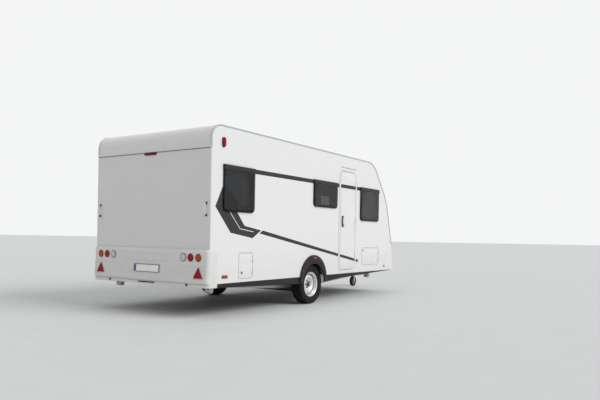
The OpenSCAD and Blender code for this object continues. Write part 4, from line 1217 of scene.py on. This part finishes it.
triangles = Shape()
for low, high in islands("warning_triangles"):
    mid, tall = (low + high) / 2, high.z - low.z
    place = facing(mid, face_out, face_up)
    half_w, h0, h1 = (high.y - low.y) / 2, -tall / 2 + 0.001, tall / 2 - 0.001
    for tone, grow, front, back in ((1, 0.0, 0.0026, -0.004), (0, -0.011, 0.0016, -0.003)):
        triangles.tone = tone
        third = (2 * h0 + h1) / 3
        base = [Vector((-half_w, h0)), Vector((half_w, h0)), Vector((0, h1))]
        scale = 1 + grow / (third - h0)
        shaped = rounded_corners([(p.x * scale, third + (p.y - third) * scale) for p in base],
                                 0.004 if tone else 0.003)
        # each row is the outline drawn in towards its centre, and a depth
        steps = [(1, back), (1, front - 0.0006), (0.985, front)]
        if tone:
            small = 1 - 0.010 / (third - h0)
            steps += [(small, front), (small, back)]
        triangles.loft([[(u * k, third + (v - third) * k, d) for u, v in shaped] for k, d in steps],
                       ring=bool(tone), place=place)
fit(triangles.make("warning_triangles_shape", red_reflex, red_rim, crease=25), "red_lens",
    "warning_triangles")

plate_lo, plate_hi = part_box("number_plate")
plate_w, plate_h, plate_t = plate_hi.y - plate_lo.y, 0.110, 0.003
mount = next(m for m in frame["record"]["mounts"] if m["name"] == "number_plate_face")
plate_at = facing(Vector(mount["pos_m"]) - face_out * plate_t, face_out, face_up)
plate = Shape()
plate.plate(plate_w, plate_h, 0.006,
            [(0.0, -0.0062), (0.0, 0.0024), (0.001, plate_t), (0.006, plate_t), (0.0075, 0.0014),
             (0.0075, -0.0062)], plate_at, ring=True)
plate.tone = 1
plate.plate(plate_w - 0.013, plate_h - 0.013, 0.005,
            [(0.0, -0.005), (0.0, 0.0016), (0.0014, 0.0020), (0.0022, 0.0013)], plate_at)
plate.tone = 2
band_w = 0.040
plate.plate(band_w, plate_h - 0.020, 0.003, [(0.0, 0.0011), (0.0, 0.0015)],
            plate_at @ Matrix.Translation((-plate_w / 2 + 0.010 + band_w / 2, 0, 0)))
fit(plate.make("number_plate_shape", black_plastic, plate_white, plate_blue, crease=25), "plate",
    "number_plate")

# ---- Skirts, wheel arches and side markers ----
# Grey plastic skirts close the foot of each wall. Black moulded arch trims are screwed round
# the wheel openings, with a marker lamp on the crown, and more markers stand along the side.
moulded, given, result = shader_group("moulded_plastic",
                                      {"Colour": (0.05, 0.05, 0.055, 1), "Dust": (0.17, 0.15, 0.12, 1),
                                       "Foot": 0.3, "Reach": 0.5, "Amount": 0.35, "Smooth": 0.5,
                                       "Grain": 900.0})
mould_place = object_place(moulded)
mould_z = put(moulded, "ShaderNodeSeparateXYZ", {0: mould_place}).outputs[2]
mould_low = over(moulded, mould_z, plus(moulded, given["Foot"], given["Reach"]), given["Foot"])
mould_cloud = noise(moulded, mould_place, 8.0, 8.0, 0.6)
mould_mask = times(moulded, times(moulded, mould_low, mould_cloud), given["Amount"])
mould_fine = noise(moulded, mould_place, given["Grain"], 1.0)
give(moulded, result, Colour=blend_colour(moulded, mould_mask, given["Colour"], given["Dust"]),
     Roughness=plus(moulded, given["Smooth"], times(moulded, mould_mask, 0.5)), Height=mould_fine)
grey_skirt = finish("grey_skirt", moulded, {"Specular IOR Level": 0.15}, bump=0.00015,
                    Colour=(0.018, 0.018, 0.019), Amount=0.12)
arch_black = finish("arch_plastic", moulded, {"Specular IOR Level": 0.2}, bump=0.0003,
                    Colour=(0.014, 0.014, 0.015), Amount=0.2, Foot=0.35, Smooth=0.45)
eased("skirts", grey_skirt, 0.003, "grey_skirt")

axle_at = wheel_at[1]
trim_r, trim_top, trim_foot = tyre_r + 0.083, tyre_r + 0.084, tyre_r + 0.050
gap_r, gap_z = tyre_r + 0.018, tyre_r + 0.004
arch_steps = 80
screw_share = 0.955
# a place across the trim and its depth off the wall. The rounded edge's places are in metres
# from the outer edge, the others are shares of the trim's width.
ARCH_EDGE = [(0.0, 0.0004), (0.0, 0.016), (0.004, 0.024), (0.012, 0.0285)]
ARCH_FACE = [(0.40, 0.0298), (0.80, 0.0298), (0.94, 0.026), (1.0, 0.018), (1.0, 0.0004)]


def arch_pair(t):
    """Points of the trim's outer and inner edge in the side view, t from 0 at the rear foot to 1."""
    leg = 0.10
    if t < leg:
        outer = (-trim_r, trim_foot + (trim_top - trim_foot) * t / leg)
    elif t > 1 - leg:
        outer = (trim_r, trim_foot + (trim_top - trim_foot) * (1 - t) / leg)
    else:
        a = math.pi * (1 - (t - leg) / (1 - 2 * leg))
        outer = (trim_r * math.cos(a), trim_top + trim_r * math.sin(a))
    foot_turn = math.asin((trim_foot - gap_z) / gap_r)
    b = (math.pi - foot_turn) - (math.pi - 2 * foot_turn) * t
    return outer, (gap_r * math.cos(b), gap_z + gap_r * math.sin(b))


arches = Shape()
for side in (1, -1):
    loops = []
    for i in range(arch_steps + 1):
        outer, inner = arch_pair(i / arch_steps)
        width = math.dist(outer, inner)
        loop = []
        for share, depth in [(along / width, depth) for along, depth in ARCH_EDGE] + ARCH_FACE:
            x = outer[0] + (inner[0] - outer[0]) * share
            z = outer[1] + (inner[1] - outer[1]) * share
            loop.append((axle_at.x + x, side * (side_y + depth), z))
        loops.append(loop)
    arches.loft(loops)
fit(arches.make("wheel_arch_trims", arch_black, crease=28), "arch_plastic", "wheel_arches")
for side in (1, -1):
    line = []
    for i in range(3, arch_steps - 2):
        outer, _ = arch_pair(i / arch_steps)
        line.append((axle_at.x + outer[0] * screw_share, side * (side_y + 0.0288),
                     trim_top + (outer[1] - trim_top) * screw_share))
    screws = strung(f"arch_screws_{side_of[side]}", line,
                    Shape().turned([(0.005, -0.0014), (0.005, 0.0014)], 8), zinc_bolt, 0.17)
    fit(screws, "hitch_steel")

markers = {"amber": Shape(), "red": Shape()}
marker_base = finish("marker_base", moulded, bump=0.0001, Colour=(0.03, 0.03, 0.032), Amount=0.1)
for low, high in islands("side_markers"):
    mid, size = (low + high) / 2, high - low
    side = 1 if mid.y > 0 else -1
    red = mid.z > 2
    shape = markers["red" if red else "amber"]
    deep = size.y
    back = low.y if side > 0 else high.y
    place = facing((mid.x, back, mid.z), (0, side, 0))
    r = min(size.x, size.z) / 2 - 0.001
    shape.tone = 1
    shape.plate(size.x, size.z, r, [(0.0, 0.0), (0.0, deep * 0.35), (0.002, deep * 0.45),
                                    (0.004, deep * 0.45)], place)
    shape.tone = 0
    shape.plate(size.x - 0.010, size.z - 0.010, r - 0.004,
                [(0.0, deep * 0.3), (0.0, deep * 0.6), (0.002, deep * 0.85), (0.006, deep * 0.97),
                 (0.010, deep)], place)
fit(markers["amber"].make("side_markers_amber", amber_lens, marker_base, crease=30), "amber_lens",
    "side_markers")
fit(markers["red"].make("side_markers_red", red_lens, marker_base, crease=30), "red_lens")

# ---- Windows ----
# Double-skinned acrylic panes, tinted almost black, hung from a rail along the top edge and
# sealed on a black frame. Pleated blinds are drawn behind the two tall ones, and half behind
# the small one. The front pane is fixed.
tint, given, result = shader_group("tinted_acrylic", {"Colour": (0.3, 0.31, 0.33, 1), "Haze": 0.05})
tint_place = object_place(tint)
tint_cloud = noise(tint, tint_place, 6.0, 6.0)
tint_wave = put(tint, "ShaderNodeTexNoise", {"Vector": tint_place, "Scale": 3.0}).outputs[0]
tint_deep = darker(tint, given["Colour"], 0.8)
give(tint, result, Colour=blend_colour(tint, tint_cloud, given["Colour"], tint_deep),
     Roughness=plus(tint, 0.02, times(tint, tint_cloud, given["Haze"])), Height=tint_wave)
acrylic = finish("tinted_acrylic", tint,
                 {"Transmission Weight": 1.0, "IOR": 1.3, "Specular IOR Level": 0.35}, bump=0.0015,
                 Colour=(0.34, 0.35, 0.37))
seal_black = finish("window_seal", moulded, {"Specular IOR Level": 0.4}, bump=0.0001,
                    Colour=(0.012, 0.012, 0.013), Amount=0.1)
rail_grey = finish("window_rail", moulded, {"Specular IOR Level": 0.15}, bump=0.0001,
                   Colour=(0.034, 0.034, 0.036), Amount=0.1)

cloth, given, result = shader_group("pleated_cloth", {"Colour": (0.35, 0.35, 0.36, 1), "Thread": 1400.0})
cloth_place = object_place(cloth)
cloth_weave = noise(cloth, cloth_place, given["Thread"], 1.0)
cloth_dark = darker(cloth, given["Colour"], 0.75)
give(cloth, result, Colour=blend_colour(cloth, cloth_weave, given["Colour"], cloth_dark),
     Roughness=plus(cloth, 0.8, times(cloth, cloth_weave, 0.1)), Height=cloth_weave)
blind_cloth = finish("blind_cloth", cloth, {"Sheen Weight": 0.1}, bump=0.0002, Colour=(0.26, 0.26, 0.27))
pale_cloth = finish("pale_cloth", cloth, {"Sheen Weight": 0.1}, bump=0.0002, Colour=(0.85, 0.85, 0.84))

window_r = 0.070
pane_rows = [(0.006, 0.0), (0.001, 0.0015), (0.0, 0.005), (0.0, 0.014), (0.003, 0.019), (0.010, 0.0212),
             (0.045, 0.0218)]
rail_h = 0.065
blind_margin = 0.12
side_panes = [b for b in islands("window_panes") if (b[1] - b[0]).y < 0.1]
front_pane = next(b for b in islands("window_panes") if (b[1] - b[0]).y > 1)
panes, seals, blinds = Shape(), Shape(), Shape()
for low, high in side_panes:
    mid, size = (low + high) / 2, high - low
    side = 1 if mid.y > 0 else -1
    foot = low.y if side > 0 else high.y
    place = facing((mid.x, foot, mid.z), (0, side, 0))
    panes.plate(size.x, size.z, window_r, pane_rows, place, square_top=True)
    # the seal: a black frame on the wall that the pane closes against, down through the wall's cut edge
    seals.tone = 0
    seals.plate(size.x - 0.006, size.z - 0.006, window_r,
                [(0.0, -0.0046), (0.0, -0.0006), (0.003, 0.0), (0.020, 0.0), (0.024, -0.003),
                 (0.041, -0.005), (0.041, -0.039), (0.0275, -0.039), (0.0275, -0.0046)], place, ring=True,
                square_top=True)
    # the hinge rail along the top, with its hooked lower lip
    seals.tone = 1
    top = size.z / 2
    section = [(top + 0.0, -0.0045), (top + 0.004, 0.004), (top + 0.004, 0.018), (top + 0.001, 0.0235),
               (top - 0.006, 0.0250), (top - rail_h + 0.010, 0.0250), (top - rail_h + 0.003, 0.0238),
               (top - rail_h, 0.0215), (top - 0.02, 0.0210)]
    seals.loft([[(u, v, d) for v, d in section] for u in (-size.x / 2 - 0.001, size.x / 2 + 0.001)],
               place=place)
    # stays' end blocks and catches on the pane's inner face, near the foot
    seals.tone = 0
    for u in (-0.30, 0.30):
        catch = place @ Matrix.Translation((u * size.x, -size.z / 2 + 0.085, 0))
        seals.plate(0.060, 0.024, 0.006, [(0.0, -0.020), (0.0, -0.004), (0.001, -0.001)], catch)
    # the blind, pleated, in its frame inside the wall
    small = size.z < 0.5
    width, tall = size.x - blind_margin, size.z - blind_margin
    shift, lift = 0.0, 0.0
    if small:
        # the small window's blind is a pale one, half drawn
        lift = -(tall - tall * 0.46) / 2
        tall *= 0.46
        width *= 0.4
        shift = 0.06
    pleats = max(4, round(tall / 0.020))
    blinds.tone = 1 if small else 0
    face = []
    for k in range(2 * pleats + 1):
        face.append((-tall / 2 + tall * k / (2 * pleats) + lift, -0.060 + (0.006 if k % 2 else 0)))
    loop = face + [(v, d - 0.002) for v, d in reversed(face)]
    blinds.loft([[(u, v, d) for v, d in loop] for u in (shift - width / 2, shift + width / 2)], place=place)
brow = math.radians(17)
front_out = Vector((math.cos(brow), 0, math.sin(brow)))
front_up = Vector((-math.sin(brow), 0, math.cos(brow)))
pane_t = 0.022
low, high = front_pane
front_long = ((high - low).z - pane_t * math.sin(brow)) / math.cos(brow)
front_place = facing((low + high) / 2 - front_out * pane_t / 2, front_out, front_up)
front_w = (high - low).y
panes.plate(front_w, front_long, window_r,
            [(0.006, 0.0), (0.001, 0.0015), (0.0, 0.005), (0.0, 0.014), (0.003, 0.018), (0.010, 0.0205),
             (0.045, 0.0218)], front_place)
seals.tone = 0
seals.plate(front_w - 0.060, front_long - 0.060, window_r - 0.02,
            [(0.0, -0.0450), (0.0, -0.0006), (0.0145, -0.0006), (0.0145, -0.0450)], front_place, ring=True)
seals.plate(front_w - 0.010, front_long - 0.010, window_r,
            [(0.0, -0.0112), (0.0, -0.001), (0.028, -0.001), (0.028, -0.0112)], front_place, ring=True)
fit(panes.make("window_panes_shape", acrylic, crease=40), "tinted_acrylic", "window_panes")
fit(seals.make("window_seals", seal_black, rail_grey, crease=30), "black_rubber", "window_frames")
fit(blinds.make("window_blinds", blind_cloth, pale_cloth, crease=20), "grey_skirt")

# ---- Entry door ----
# The leaf is a foam-cored panel with rounded edges in an aluminium frame, on three cast
# hinges. A rubber lip fills the gap, and a recessed paddle handle sits in a dark oval.
eased("door_frame", trim_white, 0.0016, "white_trim")
eased("door_leaf", wall_white, 0.0025, "wall_paint", body="door")
door_z0, door_z1 = door_lo.z, door_hi.z
door_mid = Vector(((door_x0 + door_x1) / 2, -side_y, (door_z0 + door_z1) / 2))
door_place = facing(door_mid, (0, -1, 0))
lip = Shape()
lip.plate(door_x1 - door_x0 + 0.0096, door_z1 - door_z0 + 0.0096, 0.0998,
          [(0.0, -0.012), (0.0, 0.0015), (0.0014, 0.0030), (0.0046, 0.0015), (0.0046, -0.012)],
          door_place, ring=True)
seal_grey = finish("door_lip", moulded, {"Specular IOR Level": 0.3}, bump=0.0001,
                   Colour=(0.12, 0.12, 0.125), Amount=0.1)
seal_pale = finish("flap_lip", moulded, {"Specular IOR Level": 0.3}, bump=0.0001, Colour=(0.55, 0.55, 0.56),
                   Amount=0.1)
fit(lip.make("door_lip", seal_grey, crease=40), "black_rubber", body="door")
handle_lo, handle_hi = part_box("door_handle")
handle_size = handle_hi - handle_lo
handle_place = facing(((handle_lo.x + handle_hi.x) / 2, handle_hi.y, (handle_lo.z + handle_hi.z) / 2),
                      (0, -1, 0))
handle = Shape()
handle_deep = handle_size.y
handle.plate(handle_size.x, handle_size.z, 0.036,
             [(0.0, 0.0002), (0.0, handle_deep * 0.42), (0.003, handle_deep * 0.55),
              (0.010, handle_deep * 0.58), (0.014, handle_deep * 0.35), (0.018, handle_deep * 0.28)],
              handle_place)
paddle_at = handle_place @ Matrix.Translation((0.004, 0.012, 0))
handle.tone = 1
handle.plate(handle_size.x * 0.42, handle_size.z * 0.62, 0.014,
             [(0.0, handle_deep * 0.28), (0.0, handle_deep * 0.85), (0.002, handle_deep * 0.97),
              (0.005, handle_deep)], paddle_at)
handle.tone = 2
lock_at = handle_place @ Matrix.Translation((0, -handle_size.z * 0.36, 0))
handle.turned([(0.011, handle_deep * 0.3), (0.011, handle_deep * 0.62), (0.0095, handle_deep * 0.68),
               (0.0035, handle_deep * 0.68), (0.003, handle_deep * 0.5), (0, handle_deep * 0.5)], 28,
               place=lock_at)
paddle_grey = finish("paddle_grey", brushed, {"Metallic": 0.1}, bump=0.00003, Colour=(0.72, 0.72, 0.73),
                     Smooth=0.3)
lock_steel = finish("lock_steel", brushed, {"Metallic": 0.95}, bump=0.00003, Colour=(0.6, 0.6, 0.6),
                    Smooth=0.25)
fit(handle.make("door_handle_shape", black_plastic, paddle_grey, lock_steel, crease=30), "black_plastic",
    "door_handle", body="door")

# ---- Service flap, storage flap and gas locker lid ----
# Each flap is a cut-out of the wall panel in its own thin aluminium edging, with a rubber lip
# and a round turn lock. The gas locker's wide lid is hinged at its top and locks at its foot.
for flap, wide in (("service_flap", 0.303), ("storage_flap", 0.700)):
    eased(flap, wall_white, 0.0018, "wall_paint", body=flap)
    low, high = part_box(flap)
    tall = high.z - low.z
    place = facing((low.x + wide / 2, -side_y, (low.z + high.z) / 2), (0, -1, 0))
    edging = Shape()
    edging.plate(wide + 0.0004, tall + 0.0004, 0.025,
                 [(0.0, -0.004), (0.0, 0.0012), (0.001, 0.0018), (0.009, 0.0018), (0.010, 0.0012),
                  (0.010, 0.0002), (0.0006, 0.0002), (0.0006, -0.004)], place, ring=True)
    edging.tone = 1
    edging.plate(wide + 0.0108, tall + 0.0108, 0.031,
                 [(0.0, -0.010), (0.0, 0.0006), (0.0012, 0.0016), (0.0048, 0.0006), (0.0048, -0.010)],
                 place, ring=True)
    if flap == "service_flap":
        at = place @ Matrix.Translation((-wide / 2 + 0.062, -tall / 2 + 0.075, 0))
    else:
        at = place @ Matrix.Translation((-wide / 2 + 0.05, tall / 2 - 0.045, 0))
    edging.tone = 2
    edging.turned([(0.019, 0.0), (0.019, 0.003), (0.0165, 0.0048), (0.012, 0.0048), (0.0115, 0.003),
                   (0, 0.003)], 32, place=at)
    edging.tone = 3
    edging.turned([(0.0095, 0.002), (0.0095, 0.0062), (0.0085, 0.0070), (0, 0.0070)], 24, place=at)
    edging.tone = 2
    edging.plate(0.0022, 0.011, 0.0008, [(0.0, 0.0066), (0.0, 0.0072)], at)
    fit(edging.make(flap + "_edging", trim_white, seal_pale, black_plastic, lock_steel, crease=30),
        "white_trim", body=flap)
eased("gas_locker_lid", wall_white, 0.002, "wall_paint", body="gas_locker_lid")
lid_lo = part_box("gas_locker_lid")[0]
lid_locks = Shape()
lock_z = lid_lo.z + 0.09
lock_x = next(x0 + (x1 - x0) * (lock_z - z0) / (z1 - z0)
              for (x0, z0), (x1, z1) in zip(outer_line, outer_line[1:]) if z1 <= lock_z <= z0 and x0 > 2)
lean = Vector((outer_line[-1][0] - outer_line[-3][0], 0,
               outer_line[-1][1] - outer_line[-3][1])).normalized()
lid_out = Vector((-lean.z, 0, lean.x))
for y in (-0.5, 0.5):
    at = facing(Vector((lock_x, y, lock_z)) + lid_out * -0.0008, lid_out, -lean)
    lid_locks.tone = 0
    lid_locks.turned([(0.022, 0.0), (0.022, 0.003), (0.019, 0.0048), (0.013, 0.0048), (0.0125, 0.003),
                      (0, 0.003)], 32, place=at)
    lid_locks.tone = 1
    lid_locks.turned([(0.0105, 0.002), (0.0105, 0.0062), (0.0095, 0.0070), (0, 0.0070)], 24, place=at)
fit(lid_locks.make("gas_locker_locks", black_plastic, lock_steel, crease=30), "black_plastic",
    body="gas_locker_lid")

# ---- Roof lights and vents ----
# Two roof lights with clear-grey acrylic domes on white frames, a mushroom vent for the
# fridge flue, and slatted vent grilles clipped into the left wall.
dome_acrylic = finish("dome_acrylic", tint, {"Coat Weight": 0.5, "Coat Roughness": 0.05}, bump=0.001,
                      Colour=(0.42, 0.44, 0.47), Haze=0.3)
roof_parts = Shape()
for low, high in islands("roof_vents"):
    mid, size = (low + high) / 2, high - low
    place = facing((mid.x, mid.y, low.z), (0, 0, 1), (1, 0, 0))
    # on the roof a piece's own x runs across the body and its y forwards
    if size.x > 0.3:
        roof_parts.tone = 0
        roof_parts.plate(size.y, size.x, 0.045,
                         [(0.0, -0.004), (0.0, 0.014), (0.006, 0.020), (0.030, 0.022), (0.034, 0.016),
                          (0.034, -0.004)], place, ring=True)
        roof_parts.tone = 1
        high_z = size.z - 0.001
        roof_parts.plate(size.y - 0.036, size.x - 0.036, 0.05,
                         [(0.0, 0.016), (0.0, 0.026), (0.004, 0.034), (0.020, high_z * 0.78),
                          (0.050, high_z * 0.9), (0.11, high_z * 0.98), (0.17, high_z)], place)
        roof_parts.tone = 2
        for u in (-0.3, 0.3):
            roof_parts.plate(0.030, 0.016, 0.004, [(0.0, 0.012), (0.0, 0.030), (0.002, 0.032)],
                             place @ Matrix.Translation((u * size.y, size.x / 2 - 0.012, 0)))
    else:
        roof_parts.tone = 0
        r = size.x / 2
        tall = size.z
        roof_parts.turned([(r * 0.9, -0.004), (r * 0.9, 0.003), (r * 0.66, 0.010), (r * 0.62, tall * 0.62)],
                          40, place=place)
        roof_parts.turned([(r * 0.62, tall * 0.72), (r, tall * 0.70), (r, tall * 0.80),
                           (r * 0.93, tall * 0.90), (r * 0.7, tall * 0.975), (r * 0.35, tall), (0, tall)],
                          40, place=place)
fit(roof_parts.make("roof_fittings", trim_white, dome_acrylic, black_plastic, crease=30), "white_trim",
    "roof_vents")

grilles = Shape()
slat_count = 9
for number, (low, high) in enumerate(islands("side_vents")):
    mid, size = (low + high) / 2, high - low
    place = facing((mid.x, low.y, mid.z), (0, 1, 0))
    r = 0.015
    deep = size.y
    grilles.tone = 0
    grilles.plate(size.x, size.z, r,
                  [(0.0, 0.0), (0.0, deep * 0.55), (0.003, deep * 0.8), (0.012, deep * 0.8),
                   (0.016, deep * 0.35), (0.016, 0.0)], place, ring=True)
    grilles.tone = 1
    grilles.plate(size.x - 0.02, size.z - 0.02, 0.01, [(0.0, 0.0), (0.0, deep * 0.15)], place)
    slat = Shape().loft([[(u, -0.007, deep * 0.12), (u, -0.004, deep * 0.10), (u, 0.006, deep * 0.70),
                          (u, 0.004, deep * 0.85)]
                         for u in (-size.x / 2 + 0.014, size.x / 2 - 0.014)])
    step = (size.z - 0.036) / slat_count
    slats = grown(row_tree, f"vent_slats_{number}", slat, trim_white,
                  place @ Matrix.Translation((0, -size.z / 2 + 0.018 + step / 2, 0)),
                  Count=slat_count, Step=(0, step, 0))
    fit(slats, "white_trim")
fit(grilles.make("vent_frames", trim_white, black_plastic, crease=30), "white_trim", "side_vents")

# ---- Grab handles ----
# Moulded bows with a white grip between two dark feet, each foot screwed to the panel, two on
# the tail's corners and two at the nose.
for_handles = Shape()
for low, high in islands("grab_handles"):
    mid = (low + high) / 2
    at_tail = mid.x < 0
    out = Vector((-1, 0, 0)) if at_tail else front_out
    up = Vector((0, 0, 1)) if at_tail else front_up
    deep, tall = 0.046, 0.196
    place = facing(Vector((high.x, mid.y, mid.z)) if at_tail else mid - out * deep / 2, out, up)
    for_handles.tone = 1
    for v in (-1, 1):
        for_handles.plate(0.024, 0.034, 0.008, [(0.0, 0.0), (0.0, 0.010), (0.003, 0.016), (0.004, 0.024)],
                          place @ Matrix.Translation((0, v * (tall / 2 - 0.018), 0)))
    for_handles.tone = 0
    line = [(0.006, -tall / 2 + 0.018), (0.022, -tall / 2 + 0.019), (0.034, -tall / 2 + 0.028),
            (0.0395, -tall / 2 + 0.045)]
    line += [(d, -v) for d, v in reversed(line)]
    loops = []
    for i, (d, v) in enumerate(line):
        before, after = Vector(line[max(i - 1, 0)]), Vector(line[min(i + 1, len(line) - 1)])
        run = (after - before).normalized()
        thick, broad = 0.006, 0.0085
        loops.append([(broad * math.cos(t), v + run.x * -thick * math.sin(t),
                       d + run.y * thick * math.sin(t)) for t in (2 * math.pi * k / 14 for k in range(14))])
    for_handles.loft(loops, place=place)
fit(for_handles.make("grab_handles_shape", trim_white, rail_grey, crease=35), "white_trim", "grab_handles")

# ---- Hitch ----
# A cast overrun housing bolted between the drawbar's ends, a bellows over its shaft, and the
# ball coupling with its handle. The handbrake lever stands in its own bracket.
hitch_steel = finish("hitch_steel", grit, {"Metallic": 0.35}, bump=0.0004, Colour=(0.12, 0.122, 0.126),
                     Amount=0.45, Smooth=0.42)
eased("hitch_housing", galvanised, 0.006, "galvanised_steel")
eased("coupling_head", hitch_steel, 0.004, "hitch_steel")
eased("handbrake_lever", black_plastic, 0.005, "black_plastic")
gaiter_lo, gaiter_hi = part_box("hitch_gaiter")
folds = 11
long = gaiter_hi.x - gaiter_lo.x
outer_r = (gaiter_hi.z - gaiter_lo.z) / 2
bellows = [(outer_r, 0.0), (outer_r, 0.012)]
for i in range(folds):
    start = 0.014 + (long - 0.028) * i / folds
    step = (long - 0.028) / folds
    bellows += [(outer_r - 0.0075, start + step * 0.08), (outer_r - 0.0085, start + step * 0.2),
                (outer_r - 0.001, start + step * 0.55), (outer_r - 0.001, start + step * 0.72)]
bellows += [(outer_r, long - 0.012), (outer_r, long)]
# the inner wall, one wall's thickness in from the outer one
bellows += [(max(r, 0.0285) - 0.0022, h) for r, h in reversed(bellows)]
gaiter = Shape().turned(bellows, 40, ring=True,
                        place=Matrix.Translation((gaiter_lo.x, 0, (gaiter_lo.z + gaiter_hi.z) / 2))
                        @ Matrix.Rotation(math.pi / 2, 4, "Y"))
fit(gaiter.make("hitch_bellows", rubber_black, crease=50), "black_rubber", "hitch_gaiter")
housing_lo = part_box("hitch_housing")[0]
bar_side, hitch_bolt_z = 0.1003, 0.42
for side in (1, -1):
    bolts = grown(row_tree, f"hitch_bolts_{side_of[side]}", bolt_head(0.011), zinc_bolt,
                  facing((housing_lo.x + 0.08, side * bar_side, hitch_bolt_z), (0, side, 0)), Count=3,
                  Step=(side * -0.13, 0, 0))
    fit(bolts, "hitch_steel")

# ---- Jockey wheel ----
# A zinc-plated tube in a screw clamp, with a crank on top, and a black plastic wheel with a
# solid rubber tyre that swivels in a pressed fork.
eased("jockey_clamp", galvanised, 0.002, "galvanised_steel")
eased("jockey_tube", galvanised, 0.002, "galvanised_steel", body="jockey_tube")
eased("jockey_fork", galvanised, 0.002, "galvanised_steel", body="jockey_fork")
jockey_lo, jockey_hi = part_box("jockey_wheel")
jockey_r = (jockey_hi.z - jockey_lo.z) / 2
jockey_half = (jockey_hi.y - jockey_lo.y) / 2
jockey_place = Matrix.Translation((jockey_lo + jockey_hi) / 2) @ Matrix.Rotation(math.pi / 2, 4, "X")
jockey = Shape()
jockey.turned([(0.070, jockey_half - 0.006), (0.074, jockey_half), (jockey_r - 0.012, jockey_half),
               (jockey_r - 0.004, jockey_half - 0.004), (jockey_r, jockey_half - 0.012),
               (jockey_r, 0.004), (jockey_r - 0.002, 0.003), (jockey_r - 0.002, -0.003),
               (jockey_r, -0.004), (jockey_r, -jockey_half + 0.012),
               (jockey_r - 0.004, -jockey_half + 0.004), (jockey_r - 0.012, -jockey_half),
               (0.074, -jockey_half), (0.070, -jockey_half + 0.006)],
              56, ring=True, place=jockey_place)
jockey.tone = 1
jockey.turned([(0.0081, jockey_half), (0.022, jockey_half), (0.024, jockey_half - 0.003), (0.026, 0.008),
               (0.060, 0.006), (0.062, jockey_half - 0.008), (0.0715, jockey_half - 0.006),
               (0.0715, -jockey_half + 0.006), (0.062, -jockey_half + 0.008), (0.060, -0.006),
               (0.026, -0.008), (0.024, -jockey_half + 0.003), (0.022, -jockey_half),
               (0.0081, -jockey_half)],
              56, ring=True, place=jockey_place)
hub_grey = finish("hub_grey", moulded, bump=0.0002, Colour=(0.30, 0.30, 0.31), Amount=0.4)
fit(jockey.make("jockey_wheel_shape", tyre_rubber, hub_grey, crease=30), "tyre", "jockey_wheel",
    body="jockey_wheel")
rib = Shape().loft([[(-0.017, -0.002, z), (0.0165, -0.002, z), (0.0165, 0.002, z), (-0.017, 0.002, z)]
                    for z in (-jockey_half + 0.010, jockey_half - 0.010)])
spokes = grown(ring_tree, "jockey_spokes", rib, hub_grey, jockey_place, Count=8, Radius=0.043)
fit(spokes, "black_plastic", body="jockey_wheel")

# ---- Corner steadies ----
# Pressed channel legs on pivot pins, zinc plated, with a round foot. They are wound down with
# a brace whose socket shows at the end of each pivot.
for end in ("rear", "front"):
    for side in (1, -1):
        name = f"steady_{end}_{side_of[side]}"
        eased(name, galvanised, 0.0015, "galvanised_steel", body=name)
